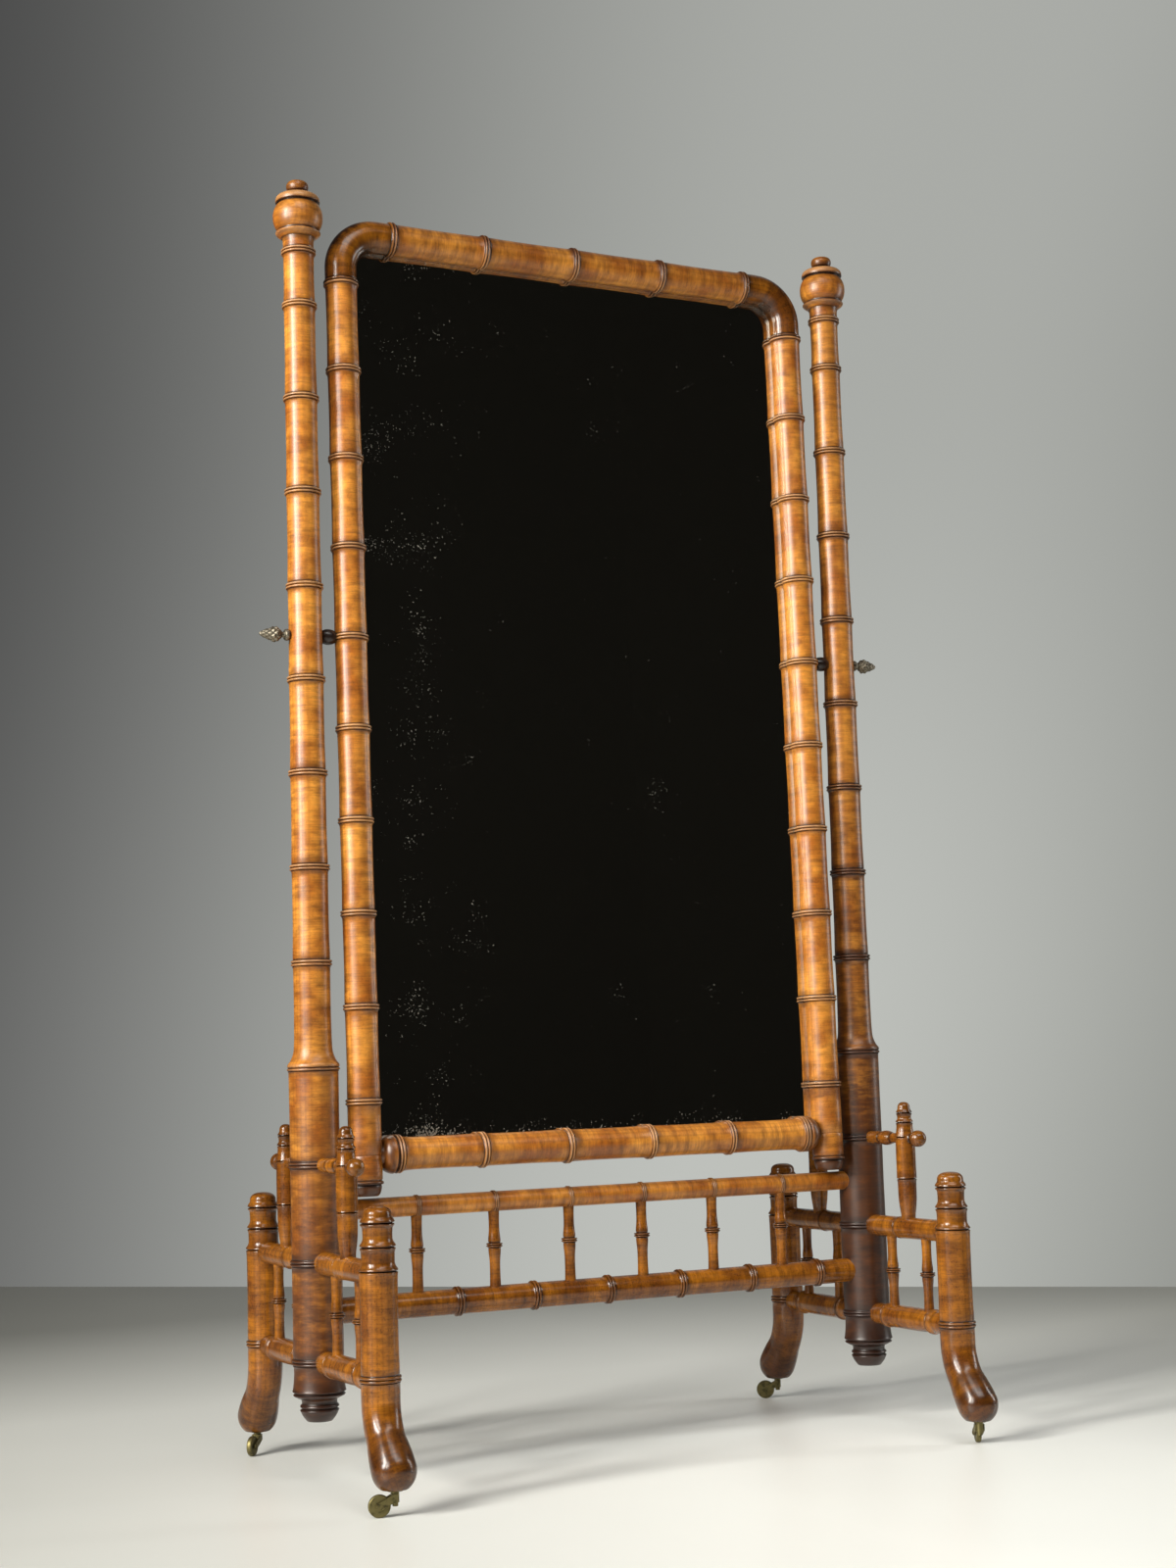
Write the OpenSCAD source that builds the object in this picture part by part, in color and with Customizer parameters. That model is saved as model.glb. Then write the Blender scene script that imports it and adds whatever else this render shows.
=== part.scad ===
// Cheval mirror in turned imitation bamboo, free-standing on four casters.
// Millimetres, +Z up. The glass faces -Y and the origin is on the floor, midway between the posts.

/* [Posts] */
// Height from the lower side rails' axis down to the underside of the pendant below each post
pendant_drop = 81; // [75:1:87]
// Diameter of the thick lower part of a post
post_base_d = 71; // [66:1:73]
// Diameter of a post's slender part just above the flare
post_low_d = 54; // [50:1:56]
// Diameter of a post just below its finial
post_top_d = 45; // [42:1:48]
// Height of the short bay below a finial
crown_bay = 81; // [70:1:95]
// Height from a post's last ring pair up to the mirror's top rail
crown_drop = 44; // [38:1:50]
// Height from the flare ring to the first ring pair above it
neck_bay = 147; // [140:1:155]
// How far the ring pairs of a post stand out of its shaft
post_ring_lift = 2.9; // [2:0.1:3.5]

/* [Finials] */
// Height from a finial's shoulder on its post to its top
finial_h = 87; // [80:1:95]
// Diameter of a finial's ball
finial_ball_d = 73; // [66:1:76]
// Diameter of the flat cap above the ball
finial_cap_d = 65; // [56:1:66]
// Diameter of the button on top
finial_button_d = 32.5; // [26:0.5:38]

/* [Trestles] */
// Height from the start of a foot's bend up to the lower side rails' axis
lower_rail_rise = 23.9; // [22:0.1:30]
// Height between the side rails, the spur arms and the flare, one post bay each
trestle_bay = 135; // [128:1:140]
// Distance from a post's axis to a leg's axis
leg_y = 242; // [230:1:270]
// Diameter of an upper side rail
upper_rail_d = 32; // [28:1:34]
// Diameter of a lower side rail
lower_rail_d = 34; // [30:1:36]
// Distance from a spur spindle's axis in to the ring on its side rail
rail_ring_gap = 20; // [17:1:24]
// Distance from a post's axis to the inner spindle under an upper side rail
inner_spindle_y = 79; // [72:1:86]
// Distance from a leg's axis to the outer spindle under an upper side rail
outer_spindle_gap = 70; // [64:1:76]
// Diameter of the short spindles
spindle_d = 15.5; // [13:0.5:18]

/* [Legs] */
// Height between the grooves of a leg's stepped top
leg_step = 31; // [28:1:34]
// Height of a leg's cap above its last groove
leg_cap = 22; // [20:1:26]
// Diameter of a leg's shank
shank_d = 51; // [48:1:54]
// Radius of the foot's bend, at its centre line
bend_r = 84; // [76:1:92]
// Angle of the foot's bend
bend_angle = 37; // [34:1:40]
// Diameter of the toe
toe_d = 59; // [56:1:62]
// Length of the toe beyond the bend, to the middle of its round end
toe_len = 42; // [38:1:46]
// Height from the flat under the toe to the middle of its round end
toe_drop = 23; // [21:0.5:25]

/* [Spurs] */
// Distance from a post's axis to a spur spindle's axis
spur_y = 128; // [124:1:134]
// Diameter of a spur spindle
spur_d = 29; // [26:0.5:31]
// Height of a spur spindle's dome above its arm
spur_rise = 55; // [50:1:60]
// Diameter of a spur arm where it leaves its post
arm_d = 19.6; // [17:0.2:21]
// Diameter of the ball at the end of a spur arm
ball_d = 25; // [22:0.5:27]

/* [Stretchers] */
// Height from the upper side rails' axis to the upper stretcher's axis
upper_stretcher_rise = 69.5; // [62:0.5:76]
// Diameter of the upper stretcher
upper_stretcher_d = 28.5; // [26:0.5:29]
// Height from the lower side rails' axis to the lower stretcher's axis
lower_stretcher_rise = 66; // [60:1:74]
// Diameter of the lower stretcher
lower_stretcher_d = 36.5; // [33:0.5:38]
// Distance from a post's axis to the end ring of the lower stretcher
stretcher_end_bay = 90; // [82:1:98]
// Number of spindles that join the stretchers
baluster_count = 6; // [4:1:6]
// Diameter of those spindles
baluster_d = 16.5; // [14:0.5:19]

/* [Mirror frame] */
// Distance between the axes of the two stiles
stile_spacing = 762; // [680:1:860]
// Diameter of the frame's shafts
frame_d = 47; // [45:0.5:49]
// How far the ring pairs of the frame stand out of its shafts
frame_ring_lift = 2.6; // [2:0.1:2.8]
// Height of a bay between two ring pairs on a stile
stile_bay = 133.6; // [120:0.2:150]
// Clear height from the upper stretcher to the ends of the stiles
mirror_clearance = 3.75; // [3:0.25:8]
// Distance from an elbow's end ring to the axis of the frame member it turns into
elbow_leg = 79; // [76:1:86]
// Radius of an elbow's bend, at its centre line
elbow_r = 55; // [50:1:60]
// Distance from the lowest ring pair of a stile down to the bottom rail's axis
rail_drop = 75; // [70:1:80]
// Length of a stile below the bottom rail's axis
stile_tail = 57; // [52:1:62]
// Distance from a stile's axis to the bottom rail's end ring
bell_len = 48; // [45:1:52]
// How much shorter the bottom rail's end bays are than its other bays
end_bay_less = 5.5; // [0:0.5:8]
// Diameter of the bottom rail's neck where it enters a stile
neck_d = 30; // [26:1:31]

/* [Glass and back] */
// Distance from the frame's middle plane back to the glass
glass_set_back = 10; // [9:0.5:11]
// Thickness of the glass
glass_t = 5; // [4:0.5:5.5]
// Thickness of the backboard
backboard_t = 7.5; // [6:0.5:8]
// Distance from the frame's axis in to the edge of the glass
glass_inset = 14; // [13:0.5:15]
// Distance from the frame's axis in to the edge of the backboard
backboard_inset = 7; // [6:0.5:8]
// Diameter of a backboard screw's head
screw_head_d = 6; // [5:0.5:6.5]

/* [Pivots] */
// Height of the pivots above the ring pair below them
pivot_rise = 64; // [55:1:75]
// Lean of the mirror at rest, top to the back, in degrees
mirror_lean = 1.2; // [0:0.1:3]
// Diameter of the thumb-screws' shanks
pivot_d = 8; // [7:0.5:9]
// Diameter of the turned wooden spacers
spacer_d = 23; // [20:0.5:26]
// Length of the spacers, which sets the posts' distance from the stiles
spacer_len = 19.8; // [17:0.2:24]
// Length of a thumb-screw's head beyond its post
knob_len = 45; // [40:1:50]
// Largest diameter of a thumb-screw's head
knob_d = 24; // [20:0.5:26]

/* [Casters] */
// Diameter of a caster wheel
wheel_d = 29; // [27:0.5:30]
// Width of a caster wheel
wheel_w = 8.6; // [7:0.2:10]
// Clear height between a wheel and the plate above it
wheel_clearance = 3; // [2.5:0.5:5]
// Diameter of the plate under a toe
plate_d = 20; // [17:0.5:23]
// Thickness of that plate
plate_t = 2; // [1.5:0.5:2.5]
// Diameter of the stem that is driven into the toe
stem_d = 8; // [7:0.5:9]
// Length of that stem above the plate
stem_len = 28; // [24:1:32]
// Distance of the swivel axis outwards from the middle of the toe's round end
stem_shift = 2; // [0:0.5:4]
// Diameter of the horn's boss
boss_d = 10.4; // [9.6:0.2:11]
// Height of the horn's boss
boss_h = 13.8; // [13:0.2:14.4]
// Gap between the boss and the wheel
boss_gap = 0.8; // [0.6:0.1:2]
// Diameter of the pin that the horn turns on
swivel_pin_d = 5; // [4:0.2:6]
// Diameter of the head at that pin's lower end
pin_head_d = 7.4; // [7:0.2:8]
// Diameter of the axle
axle_d = 4; // [3:0.2:4.6]
// Thickness of the horn's two arms
arm_t = 2.2; // [1.8:0.2:3]
// Rest direction of each caster, in degrees from +X: front left, rear left, front right, rear right
caster_turn = [168, 230, 64, 150]; // [0:1:360]

/* [Fits] */
// Gap all round a glued or seated joint
glue = 0.15; // [0.1:0.05:0.25]
// Radial clearance of a pin that turns
running = 0.05; // [0.03:0.01:0.08]
// Gap between faces that turn against each other
turning_gap = 0.3; // [0.2:0.05:0.4]
// How far a turned end is let in past the round of its host
bite = 1.5; // [1:0.1:2]

/* [Hidden] */
$fn = 64;
honey = "#c98a3c";
brown = "#9a5f2a";
dark_wood = "#2b1a12";
brass = "#8c7b4a";
node_half = 6.5;
waist = 0.7;
groove_deep = 3.2;
tenon_r = 9;
tenon_len = 14;
arm_tenon_r = 6;
spigot_r = 8;
spotface_r = 12;
post_flat = 0.7;
socket_r = 7;
socket_deep = 17;
wheel_gap = 0.4;
pin_head_h = 4.2;
foot_z = wheel_d + wheel_clearance + plate_t;
toe_z = foot_z + toe_drop;
bend_z = toe_z + toe_len * cos(bend_angle) + bend_r * sin(bend_angle);
toe_out = bend_r * (1 - cos(bend_angle)) + toe_len * sin(bend_angle) + stem_shift;
lower_rail_z = bend_z + lower_rail_rise;
upper_rail_z = lower_rail_z + trestle_bay;
arm_z = upper_rail_z + trestle_bay;
flare_z = arm_z + trestle_bay;
pendant_z = lower_rail_z - pendant_drop;
leg_groove_z = upper_rail_z + 4;
leg_top_z = leg_groove_z + 2 * leg_step + leg_cap;
spindle_y = [inner_spindle_y, leg_y - outer_spindle_gap];
upper_ring_y = spur_y - rail_ring_gap;
upper_stretcher_z = upper_rail_z + upper_stretcher_rise;
lower_stretcher_z = lower_rail_z + lower_stretcher_rise;
stile_x = stile_spacing / 2;
frame_r = frame_d / 2;
top_t = 4 * stile_bay + elbow_leg;
bottom_t = -(5 * stile_bay + rail_drop);
elbow_x = stile_x - elbow_leg;
end_ring_x = stile_x - bell_len;
rail_bay = 2 * (end_ring_x + end_bay_less) / 5;
glass_back = glass_set_back + glass_t;
pivot_z = upper_stretcher_z + upper_stretcher_d / 2 + mirror_clearance + stile_tail - bottom_t;
mid_bay = (pivot_z - pivot_rise - neck_bay - flare_z) / 3;
mid_nodes = [for (i = [0:4]) flare_z + neck_bay + i * mid_bay];
crown_z = pivot_z + top_t - crown_drop;
upper_bay = (crown_z - crown_bay - mid_nodes[4]) / 3;
upper_nodes = [for (i = [1:3]) mid_nodes[4] + i * upper_bay];
shoulder_z = crown_z + 21;
slender_nodes = concat(mid_nodes, upper_nodes, [crown_z]);
post_r = post_base_d / 2;
shank_r = shank_d / 2;
post_face = shaft_r(pivot_z) - post_flat;
stile_face = frame_r + frame_ring_lift - 1.5;
post_x = stile_x + stile_face + spacer_len + post_face + 2 * turning_gap;
baluster_pitch = 2 * (post_x - stretcher_end_bay) / baluster_count;
upper_stretcher_rings = [for (i = [0:baluster_count - 1])
    (i - (baluster_count - 1) / 2) * baluster_pitch];
lower_stretcher_rings = [for (i = [0:baluster_count]) (i - baluster_count / 2) * baluster_pitch];
boss_r = boss_d / 2;
trail = boss_r + boss_gap + wheel_d / 2;
horn_top = foot_z - plate_t - turning_gap;
horn_foot = horn_top - boss_h;
swivel_pin_r = swivel_pin_d / 2;
axle_r = axle_d / 2;
screw_rows = [0.9, 0.54, 0.18, -0.18, -0.54, -0.9];
screw_cols = [-0.66, 0, 0.66];

// Radius of a post's slender shaft at height z
function shaft_r(z) = (post_low_d + (post_top_d - post_low_d) * (z - flare_z) / (crown_z - flare_z)) / 2;

// Distance from a round host's axis to the seat of a round guest that is let into its side
function seat(host_r, guest_r) = sqrt(host_r * host_r - guest_r * guest_r) - bite;

// Lower half of a ring pair on a shaft of radius r, as [radius, height] points going up
function ring_low(z, r, lift, half) = [
    [r, z - half],
    [r + 0.4 * lift, z - 0.8 * half],
    [r, z - 0.7 * half],
    [r + 0.75 * lift, z - 0.56 * half],
    [r + lift, z - 0.34 * half],
    [r + 0.75 * lift, z - 0.12 * half],
    [r + 0.1 * lift, z]];

// Upper half of a ring pair
function ring_high(z, r, lift, half) = [
    [r + 0.75 * lift, z + 0.12 * half],
    [r + lift, z + 0.34 * half],
    [r + 0.7 * lift, z + 0.58 * half],
    [r - 0.15 * lift, z + 0.74 * half],
    [r, z + half]];

function ring_pair(z, r, lift, half) = concat(ring_low(z, r, lift, half), ring_high(z, r, lift, half));

// A bay of shaft from z0 to z1 that narrows a little at its middle
function bay(z0, r0, z1, r1, narrow) = [for (k = [0.25, 0.5, 0.75])
    [r0 + (r1 - r0) * k - narrow * sin(180 * k), z0 + (z1 - z0) * k]];

// A lip, a cut groove and a second lip, between shafts of two radii
function lip_pair(z, r_below, r_lip, r_above, half) = [
    [r_below, z - half],
    [r_lip - 0.5, z - 0.6 * half],
    [r_lip - 0.3, z - 0.36 * half],
    [r_lip - groove_deep, z],
    [r_lip, z + 0.3 * half],
    [r_lip - 0.4, z + 0.62 * half],
    [r_lip - 0.45 * (r_lip - r_above), z + half]];

// A hollow curve from radius r0 at height z0 to radius r1 at z1, steep at the r0 end
function flare(z0, r0, z1, r1) = [for (k = [0.25, 0.5, 0.75, 1])
    [r1 + (r0 - r1) * pow(1 - k, 2), z0 + (z1 - z0) * k]];

// Solid turned from an outline of [radius, height] points given from bottom to top
module turned(outline) {
    rotate_extrude()
        polygon(concat([[0, outline[0][1]]], outline, [[0, outline[len(outline) - 1][1]]]));
}

// Bore for a turned end: its full width down to the seat, then its tenon
module let_in(at, r, t_r, t_len) {
    translate([0, 0, at])
        cylinder(r = r + glue, h = 60);
    translate([0, 0, at - t_len - glue])
        cylinder(r = t_r + glue, h = t_len + 2 * glue);
}

// Turns +Z to point to the rear (side 1) or the front (side -1)
module outward(side) {
    rotate([-90 * side, 0, 0])
        children();
}

// Turns +Z to point to the right (side 1) or the left (side -1)
module sideways(side) {
    rotate([0, 90 * side, 0])
        children();
}

function lower_seat() = seat(post_r, lower_end_r());
function lower_end_r() = lower_rail_d / 2 - 1;
function upper_seat() = seat(post_r, upper_rail_d / 2);
function leg_groove_r() = shank_r + 1 - groove_deep;
function upper_leg_seat() = seat(leg_groove_r(), upper_rail_d / 2);
function lower_leg_seat() = seat(shank_r, lower_end_r()) - bite;

// A post: pendant, thick ringed base, flare and slender ringed shaft
function pendant_outline() = [
    [17.5, pendant_z],
    [26, pendant_z + 13],
    [27, pendant_z + 15],
    [24.4, pendant_z + 17.5],
    [27, pendant_z + 20],
    [26.4, pendant_z + 22],
    [24.4, pendant_z + 24],
    [25, pendant_z + 29],
    [post_r - 4.5, pendant_z + 32.5],
    [post_r + 0.8, pendant_z + 36],
    [post_r - 1.5, pendant_z + 38.5],
    [post_r + 1.7, pendant_z + 41],
    [post_r + 1.2, pendant_z + 43]];

function base_outline() = concat(
    flare(pendant_z + 43, post_r + 1.2, lower_rail_z - 2 * node_half, post_r - 1),
    ring_pair(lower_rail_z, post_r - 0.4, 2.4, node_half),
    bay(lower_rail_z, post_r, upper_rail_z, post_r, waist),
    ring_pair(upper_rail_z, post_r - 0.4, 2.4, node_half),
    bay(upper_rail_z, post_r, arm_z, post_r, waist),
    ring_pair(arm_z, post_r - 0.4, 2.4, node_half),
    bay(arm_z, post_r, flare_z, post_r, waist),
    ring_low(flare_z, post_r - 0.4, 2.2, node_half),
    [[post_r + 1.2, flare_z + 1.5], [post_r + 1.3, flare_z + 3]],
    flare(flare_z + 3, post_r + 1.3, flare_z + 30, shaft_r(flare_z)));

function shaft_outline() = concat(
    [for (i = [0:len(slender_nodes) - 1])
        let (z = slender_nodes[i], below = i == 0 ? flare_z + 30 : slender_nodes[i - 1])
        each concat(
            bay(below, shaft_r(below), z, shaft_r(z), i == 0 ? 0 : waist),
            ring_pair(z, shaft_r(z), post_ring_lift, node_half))],
    [[shaft_r(crown_z) - 0.2, crown_z + 12], [shaft_r(crown_z) + 0.8, shoulder_z - glue]]);

module post(side) {
    translate([side * post_x, 0, 0])
        difference() {
            turned(concat(pendant_outline(), base_outline(), shaft_outline()));
            for (way = [-1, 1]) {
                translate([0, 0, lower_rail_z])
                    outward(way) let_in(lower_seat(), lower_end_r(), tenon_r, tenon_len);
                translate([0, 0, upper_rail_z])
                    outward(way) let_in(upper_seat(), upper_rail_d / 2, tenon_r, tenon_len);
                translate([0, 0, arm_z])
                    outward(way) let_in(seat(post_r, arm_d / 2), arm_d / 2, arm_tenon_r, tenon_len);
            }
            translate([0, 0, upper_stretcher_z])
                sideways(-side)
                    let_in(seat(post_r, upper_stretcher_d / 2), upper_stretcher_d / 2, tenon_r, tenon_len);
            translate([0, 0, lower_stretcher_z])
                sideways(-side)
                    let_in(seat(post_r, lower_stretcher_d / 2), lower_stretcher_d / 2, tenon_r, tenon_len);
            translate([0, 0, pivot_z])
                sideways(1) cylinder(r = pivot_d / 2 + running, h = 2 * post_base_d, center = true);
            for (way = [-1, 1])
                translate([0, 0, pivot_z])
                    sideways(way) translate([0, 0, post_face]) cylinder(r = spotface_r, h = 10);
            translate([0, 0, shoulder_z - 26])
                cylinder(r = spigot_r + glue, h = 40);
        }
}

module left_post() { color(honey) post(-1); }
module right_post() { color(honey) post(1); }

// A finial: spigot, thin collar, ball, cap and button
function finial_outline() = let (ball = finial_ball_d / 2, cap = finial_cap_d / 2,
    button = finial_button_d / 2, top = shoulder_z + finial_h) concat(
    [[spigot_r, shoulder_z - 25], [spigot_r, shoulder_z], [shaft_r(crown_z) + 1, shoulder_z],
     [ball - 8, shoulder_z + 3.5], [ball - 4, shoulder_z + 6.5], [ball - 3.6, shoulder_z + 8],
     [ball - 7, shoulder_z + 10], [ball - 7, shoulder_z + 11.5]],
    [for (a = [-55, -40, -25, -10, 5, 20, 35, 50, 61])
        [ball - 15 + 15 * cos(a), shoulder_z + 31.5 + 23.5 * sin(a)]],
    [[cap - 2.6, shoulder_z + 53], [cap - 0.2, shoulder_z + 54], [cap, shoulder_z + 56]],
    [for (a = [20, 40, 60, 80]) [cap - 8 + 8 * cos(a), shoulder_z + 57 + 8.2 * sin(a)]],
    [[button / 2 + 1, shoulder_z + 66.5], [button / 2, top - 16.5], [button - 2.5, top - 15.5]],
    [for (a = [-20, 5, 30, 55, 75]) [button - 5 + 5 * cos(a), top - 8.5 + 7.5 * sin(a)]],
    [[button / 3, top]]);

module finial(side) {
    translate([side * post_x, 0, 0])
        turned(finial_outline());
}

module left_finial() { color(honey) finial(-1); }
module right_finial() { color(honey) finial(1); }

// A leg: stepped dome top, shank, ring and a foot that bends outwards to a round toe
function leg_outline() = let (r = shank_r, low = lower_rail_z + 2, g3 = leg_groove_z, g2 = g3 + leg_step,
    g1 = g2 + leg_step, cap = r - 6, dome = 14) concat(
    [[r, bend_z - 0.5]],
    ring_pair(low, r, 2.2, node_half),
    bay(low, r, g3, r, waist),
    lip_pair(g3, r, r + 0.8, r - 3.5, 5),
    flare(g3 + 5, r - 1, g3 + 12, r - 3.5),
    [[r - 3.4, g2 - 10]],
    lip_pair(g2, r - 3, r - 1.6, r - 5.7, 5),
    flare(g2 + 5, r - 3.4, g2 + 12, r - 5.9),
    [[r - 5.7, g1 - 10]],
    lip_pair(g1, r - 5, r - 2.6, r - 5.5, 5),
    [for (a = [0, 15, 35, 55, 72, 86])
        [cap * pow(cos(a), 0.8), leg_top_z - dome * (1 - pow(sin(a), 0.7))]]);

function toe_outline() = let (r = toe_d / 2, start = shank_r + 0.1) concat(
    [[start, -0.5]],
    [for (k = [0.25, 0.5, 0.75]) [start + (r - start) * sin(90 * k), k * toe_len]],
    [for (a = [0:10:80]) [r * cos(a), toe_len + r * sin(a)]]);

// The foot, bending towards +Y
module foot() {
    translate([0, bend_r, bend_z])
        rotate([-90, 0, 0]) rotate([0, 90, 0])
            rotate_extrude(angle = bend_angle)
                translate([bend_r, 0]) circle(r = shank_r - 0.1);
    translate([0, bend_r * (1 - cos(bend_angle)), bend_z - bend_r * sin(bend_angle)])
        rotate([180 + bend_angle, 0, 0])
            turned(toe_outline());
}

module leg(side, way) {
    translate([side * post_x, way * leg_y, 0])
        rotate([0, 0, way > 0 ? 0 : 180])
            difference() {
                union() {
                    turned(leg_outline());
                    foot();
                }
                translate([-toe_d, -toe_d, -toe_d])
                    cube([2 * toe_d, toe_out + 3 * toe_d, toe_d + foot_z]);
                translate([0, toe_out, 0])
                    cylinder(r = stem_d / 2 + glue, h = foot_z + stem_len + 1);
                translate([0, 0, upper_rail_z])
                    outward(-1) let_in(upper_leg_seat(), upper_rail_d / 2, 6, 8);
                translate([0, 0, lower_rail_z])
                    outward(-1) let_in(lower_leg_seat(), lower_end_r(), 6, 8);
            }
}

module front_left_leg() { color(brown) leg(-1, -1); }
module rear_left_leg() { color(brown) leg(-1, 1); }
module front_right_leg() { color(brown) leg(1, -1); }
module rear_right_leg() { color(brown) leg(1, 1); }

// An upper side rail, one cut ring, bored for its spur and its two spindles
function upper_rail_outline() = let (r = upper_rail_d / 2, a = upper_seat() + glue,
    b = leg_y - upper_leg_seat() - glue) concat(
    [[tenon_r, a - tenon_len], [tenon_r, a], [r, a]],
    lip_pair(upper_ring_y, r, r + 1, r, 4),
    [[r, b], [6, b], [6, b + 8]]);

module upper_rail(side, way) {
    translate([side * post_x, 0, upper_rail_z])
        difference() {
            outward(way) turned(upper_rail_outline());
            translate([0, way * spur_y, 0]) {
                translate([0, 0, spur_seat()])
                    cylinder(r = spur_foot_r() + glue, h = 20);
                translate([0, 0, spur_seat() - 12])
                    cylinder(r = 5 + glue, h = 13);
            }
            for (y = spindle_y)
                translate([0, way * y, 0])
                    rotate([180, 0, 0])
                        translate([0, 0, spindle_seat(upper_rail_d / 2)])
                            cylinder(r = spindle_d / 2 + glue, h = 20);
        }
}

function spindle_seat(rail_r) = seat(rail_r, spindle_d / 2);
function spur_foot_r() = spur_d / 2 - 3.7;
function spur_seat() = seat(upper_rail_d / 2, spur_foot_r());

module front_left_upper_rail() { color(brown) upper_rail(-1, -1); }
module rear_left_upper_rail() { color(brown) upper_rail(-1, 1); }
module front_right_upper_rail() { color(brown) upper_rail(1, -1); }
module rear_right_upper_rail() { color(brown) upper_rail(1, 1); }

// A lower side rail, a ring under each spindle and a barrel between them
function lower_rail_outline() = let (r = lower_rail_d / 2, e = lower_end_r(), a = lower_seat() + glue,
    b = leg_y - lower_leg_seat() - glue, y0 = spindle_y[0] - 13, y1 = spindle_y[1] + 13) concat(
    [[tenon_r, a - tenon_len], [tenon_r, a], [e, a]],
    lip_pair(y0, e, r + 1.6, r - 1, 5),
    bay(y0, r - 0.5, y1, r - 0.5, -0.8),
    lip_pair(y1, r - 1, r + 1.6, e, 5),
    [[e, y1 + 9], [e, b], [6, b], [6, b + 8]]);

module lower_rail(side, way) {
    translate([side * post_x, 0, lower_rail_z])
        difference() {
            outward(way) turned(lower_rail_outline());
            for (y = spindle_y)
                translate([0, way * y, spindle_seat(lower_end_r())])
                    cylinder(r = spindle_d / 2 + glue, h = 20);
        }
}

module front_left_lower_rail() { color(brown) lower_rail(-1, -1); }
module rear_left_lower_rail() { color(brown) lower_rail(-1, 1); }
module front_right_lower_rail() { color(brown) lower_rail(1, -1); }
module rear_right_lower_rail() { color(brown) lower_rail(1, 1); }

// A short spindle between two bored members, with one ring pair near its middle
module spindle(bottom, top, ring, d) {
    turned(concat(
        [[d / 2, bottom]],
        bay(bottom, d / 2, ring - 9, d / 2, 0.7),
        [[d / 2 + 0.8, ring - 6]],
        ring_pair(ring, d / 2 + 0.6, 3.2, 4.5),
        [[d / 2 + 0.8, ring + 6]],
        bay(ring + 9, d / 2, top, d / 2, 0.7),
        [[d / 2, top]]));
}

module side_spindles(side) {
    for (way = [-1, 1], y = spindle_y)
        translate([side * post_x, way * y, 0])
            spindle(lower_rail_z + spindle_seat(lower_end_r()) + glue,
                upper_rail_z - spindle_seat(upper_rail_d / 2) - glue,
                lower_rail_z + 0.51 * trestle_bay, spindle_d);
}

module left_side_spindles() { color(brown) side_spindles(-1); }
module right_side_spindles() { color(brown) side_spindles(1); }

// A spur spindle: foot tenon, belly, mid ring, arm ring and stepped dome
function spur_outline() = let (r = spur_d / 2, base = upper_rail_z + spur_seat() + glue,
    mid = arm_z - 0.45 * trestle_bay, top = arm_z + spur_rise, f = spur_foot_r()) concat(
    [[5, base - 11], [5, base], [f, base], [f, base + 7], [f + 1.6, base + 20], [f + 3, base + 36]],
    lip_pair(mid, r - 0.4, r + 0.8, r, 4),
    bay(mid + 4, r, arm_z - 4, r, -0.3),
    lip_pair(arm_z + 2, r, r + 0.6, r - 1.5, 4),
    [[r - 1.6, arm_z + 12]],
    [[r - 2.3, top - 36]],
    lip_pair(top - 31, r - 2.2, r - 1.3, r - 4, 3.5),
    [[r - 4, top - 25], [r - 3.6, top - 20]],
    lip_pair(top - 16.5, r - 3.2, r - 2.3, r - 4.6, 3),
    [[r - 4.8, top - 11], [r - 5.4, top - 6], [r - 7.4, top - 2.4], [r - 10.5, top - 0.5],
     [r - 13.5, top]]);

function stub_r() = arm_d / 2 - 2;

module spur(side, way) {
    translate([side * post_x, way * spur_y, 0])
        difference() {
            turned(spur_outline());
            translate([0, 0, arm_z])
                outward(1) let_in(seat(spur_d / 2 - 2.6, stub_r()), stub_r(), 4, 5);
            translate([0, 0, arm_z])
                outward(-1) let_in(seat(spur_d / 2 - 2.6, stub_r()), stub_r(), 4, 5);
        }
}

module front_left_spur() { color(honey) spur(-1, -1); }
module rear_left_spur() { color(honey) spur(-1, 1); }
module front_right_spur() { color(honey) spur(1, -1); }
module rear_right_spur() { color(honey) spur(1, 1); }

// A spur arm from the post to the spindle, with a swelling in the middle
function arm_outline() = let (r = arm_d / 2, a = seat(post_r, r) + glue, s = stub_r(),
    b = spur_y - seat(spur_d / 2 - 2.6, s) - glue) concat(
    [[arm_tenon_r, a - tenon_len], [arm_tenon_r, a], [r, a], [r + 0.1, b - 58], [r - 0.6, b - 53],
     [r - 1.2, b - 51.5]],
    [for (k = [0.1, 0.3, 0.5, 0.7, 0.9]) [r - 1.2 + 2.6 * sin(180 * k), b - 51.5 + 30 * k]],
    [[s, b - 19], [s, b], [4, b], [4, b + 4.5]]);

module spur_arm(side, way) {
    translate([side * post_x, 0, arm_z])
        outward(way) turned(arm_outline());
}

module front_left_spur_arm() { color(brown) spur_arm(-1, -1); }
module rear_left_spur_arm() { color(brown) spur_arm(-1, 1); }
module front_right_spur_arm() { color(brown) spur_arm(1, -1); }
module rear_right_spur_arm() { color(brown) spur_arm(1, 1); }

// The ball on the outer side of a spur spindle, on its own short stub
function ball_outline() = let (s = stub_r(), a = spur_y + seat(spur_d / 2 - 2.6, s) + glue, r = ball_d / 2,
    c = spur_y + 35) concat(
    [[4, a - 4.5], [4, a], [s, a], [s, spur_y + spur_d / 2 + 1], [s + 0.6, spur_y + 17],
     [s - 0.8, spur_y + 19.5], [s - 1, spur_y + 21]],
    [for (t = [-45:15:75]) [r * cos(t), c + r * sin(t)]],
    [[1.2, c + r]]);

module spur_ball(side, way) {
    translate([side * post_x, 0, arm_z])
        outward(way) turned(ball_outline());
}

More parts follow.
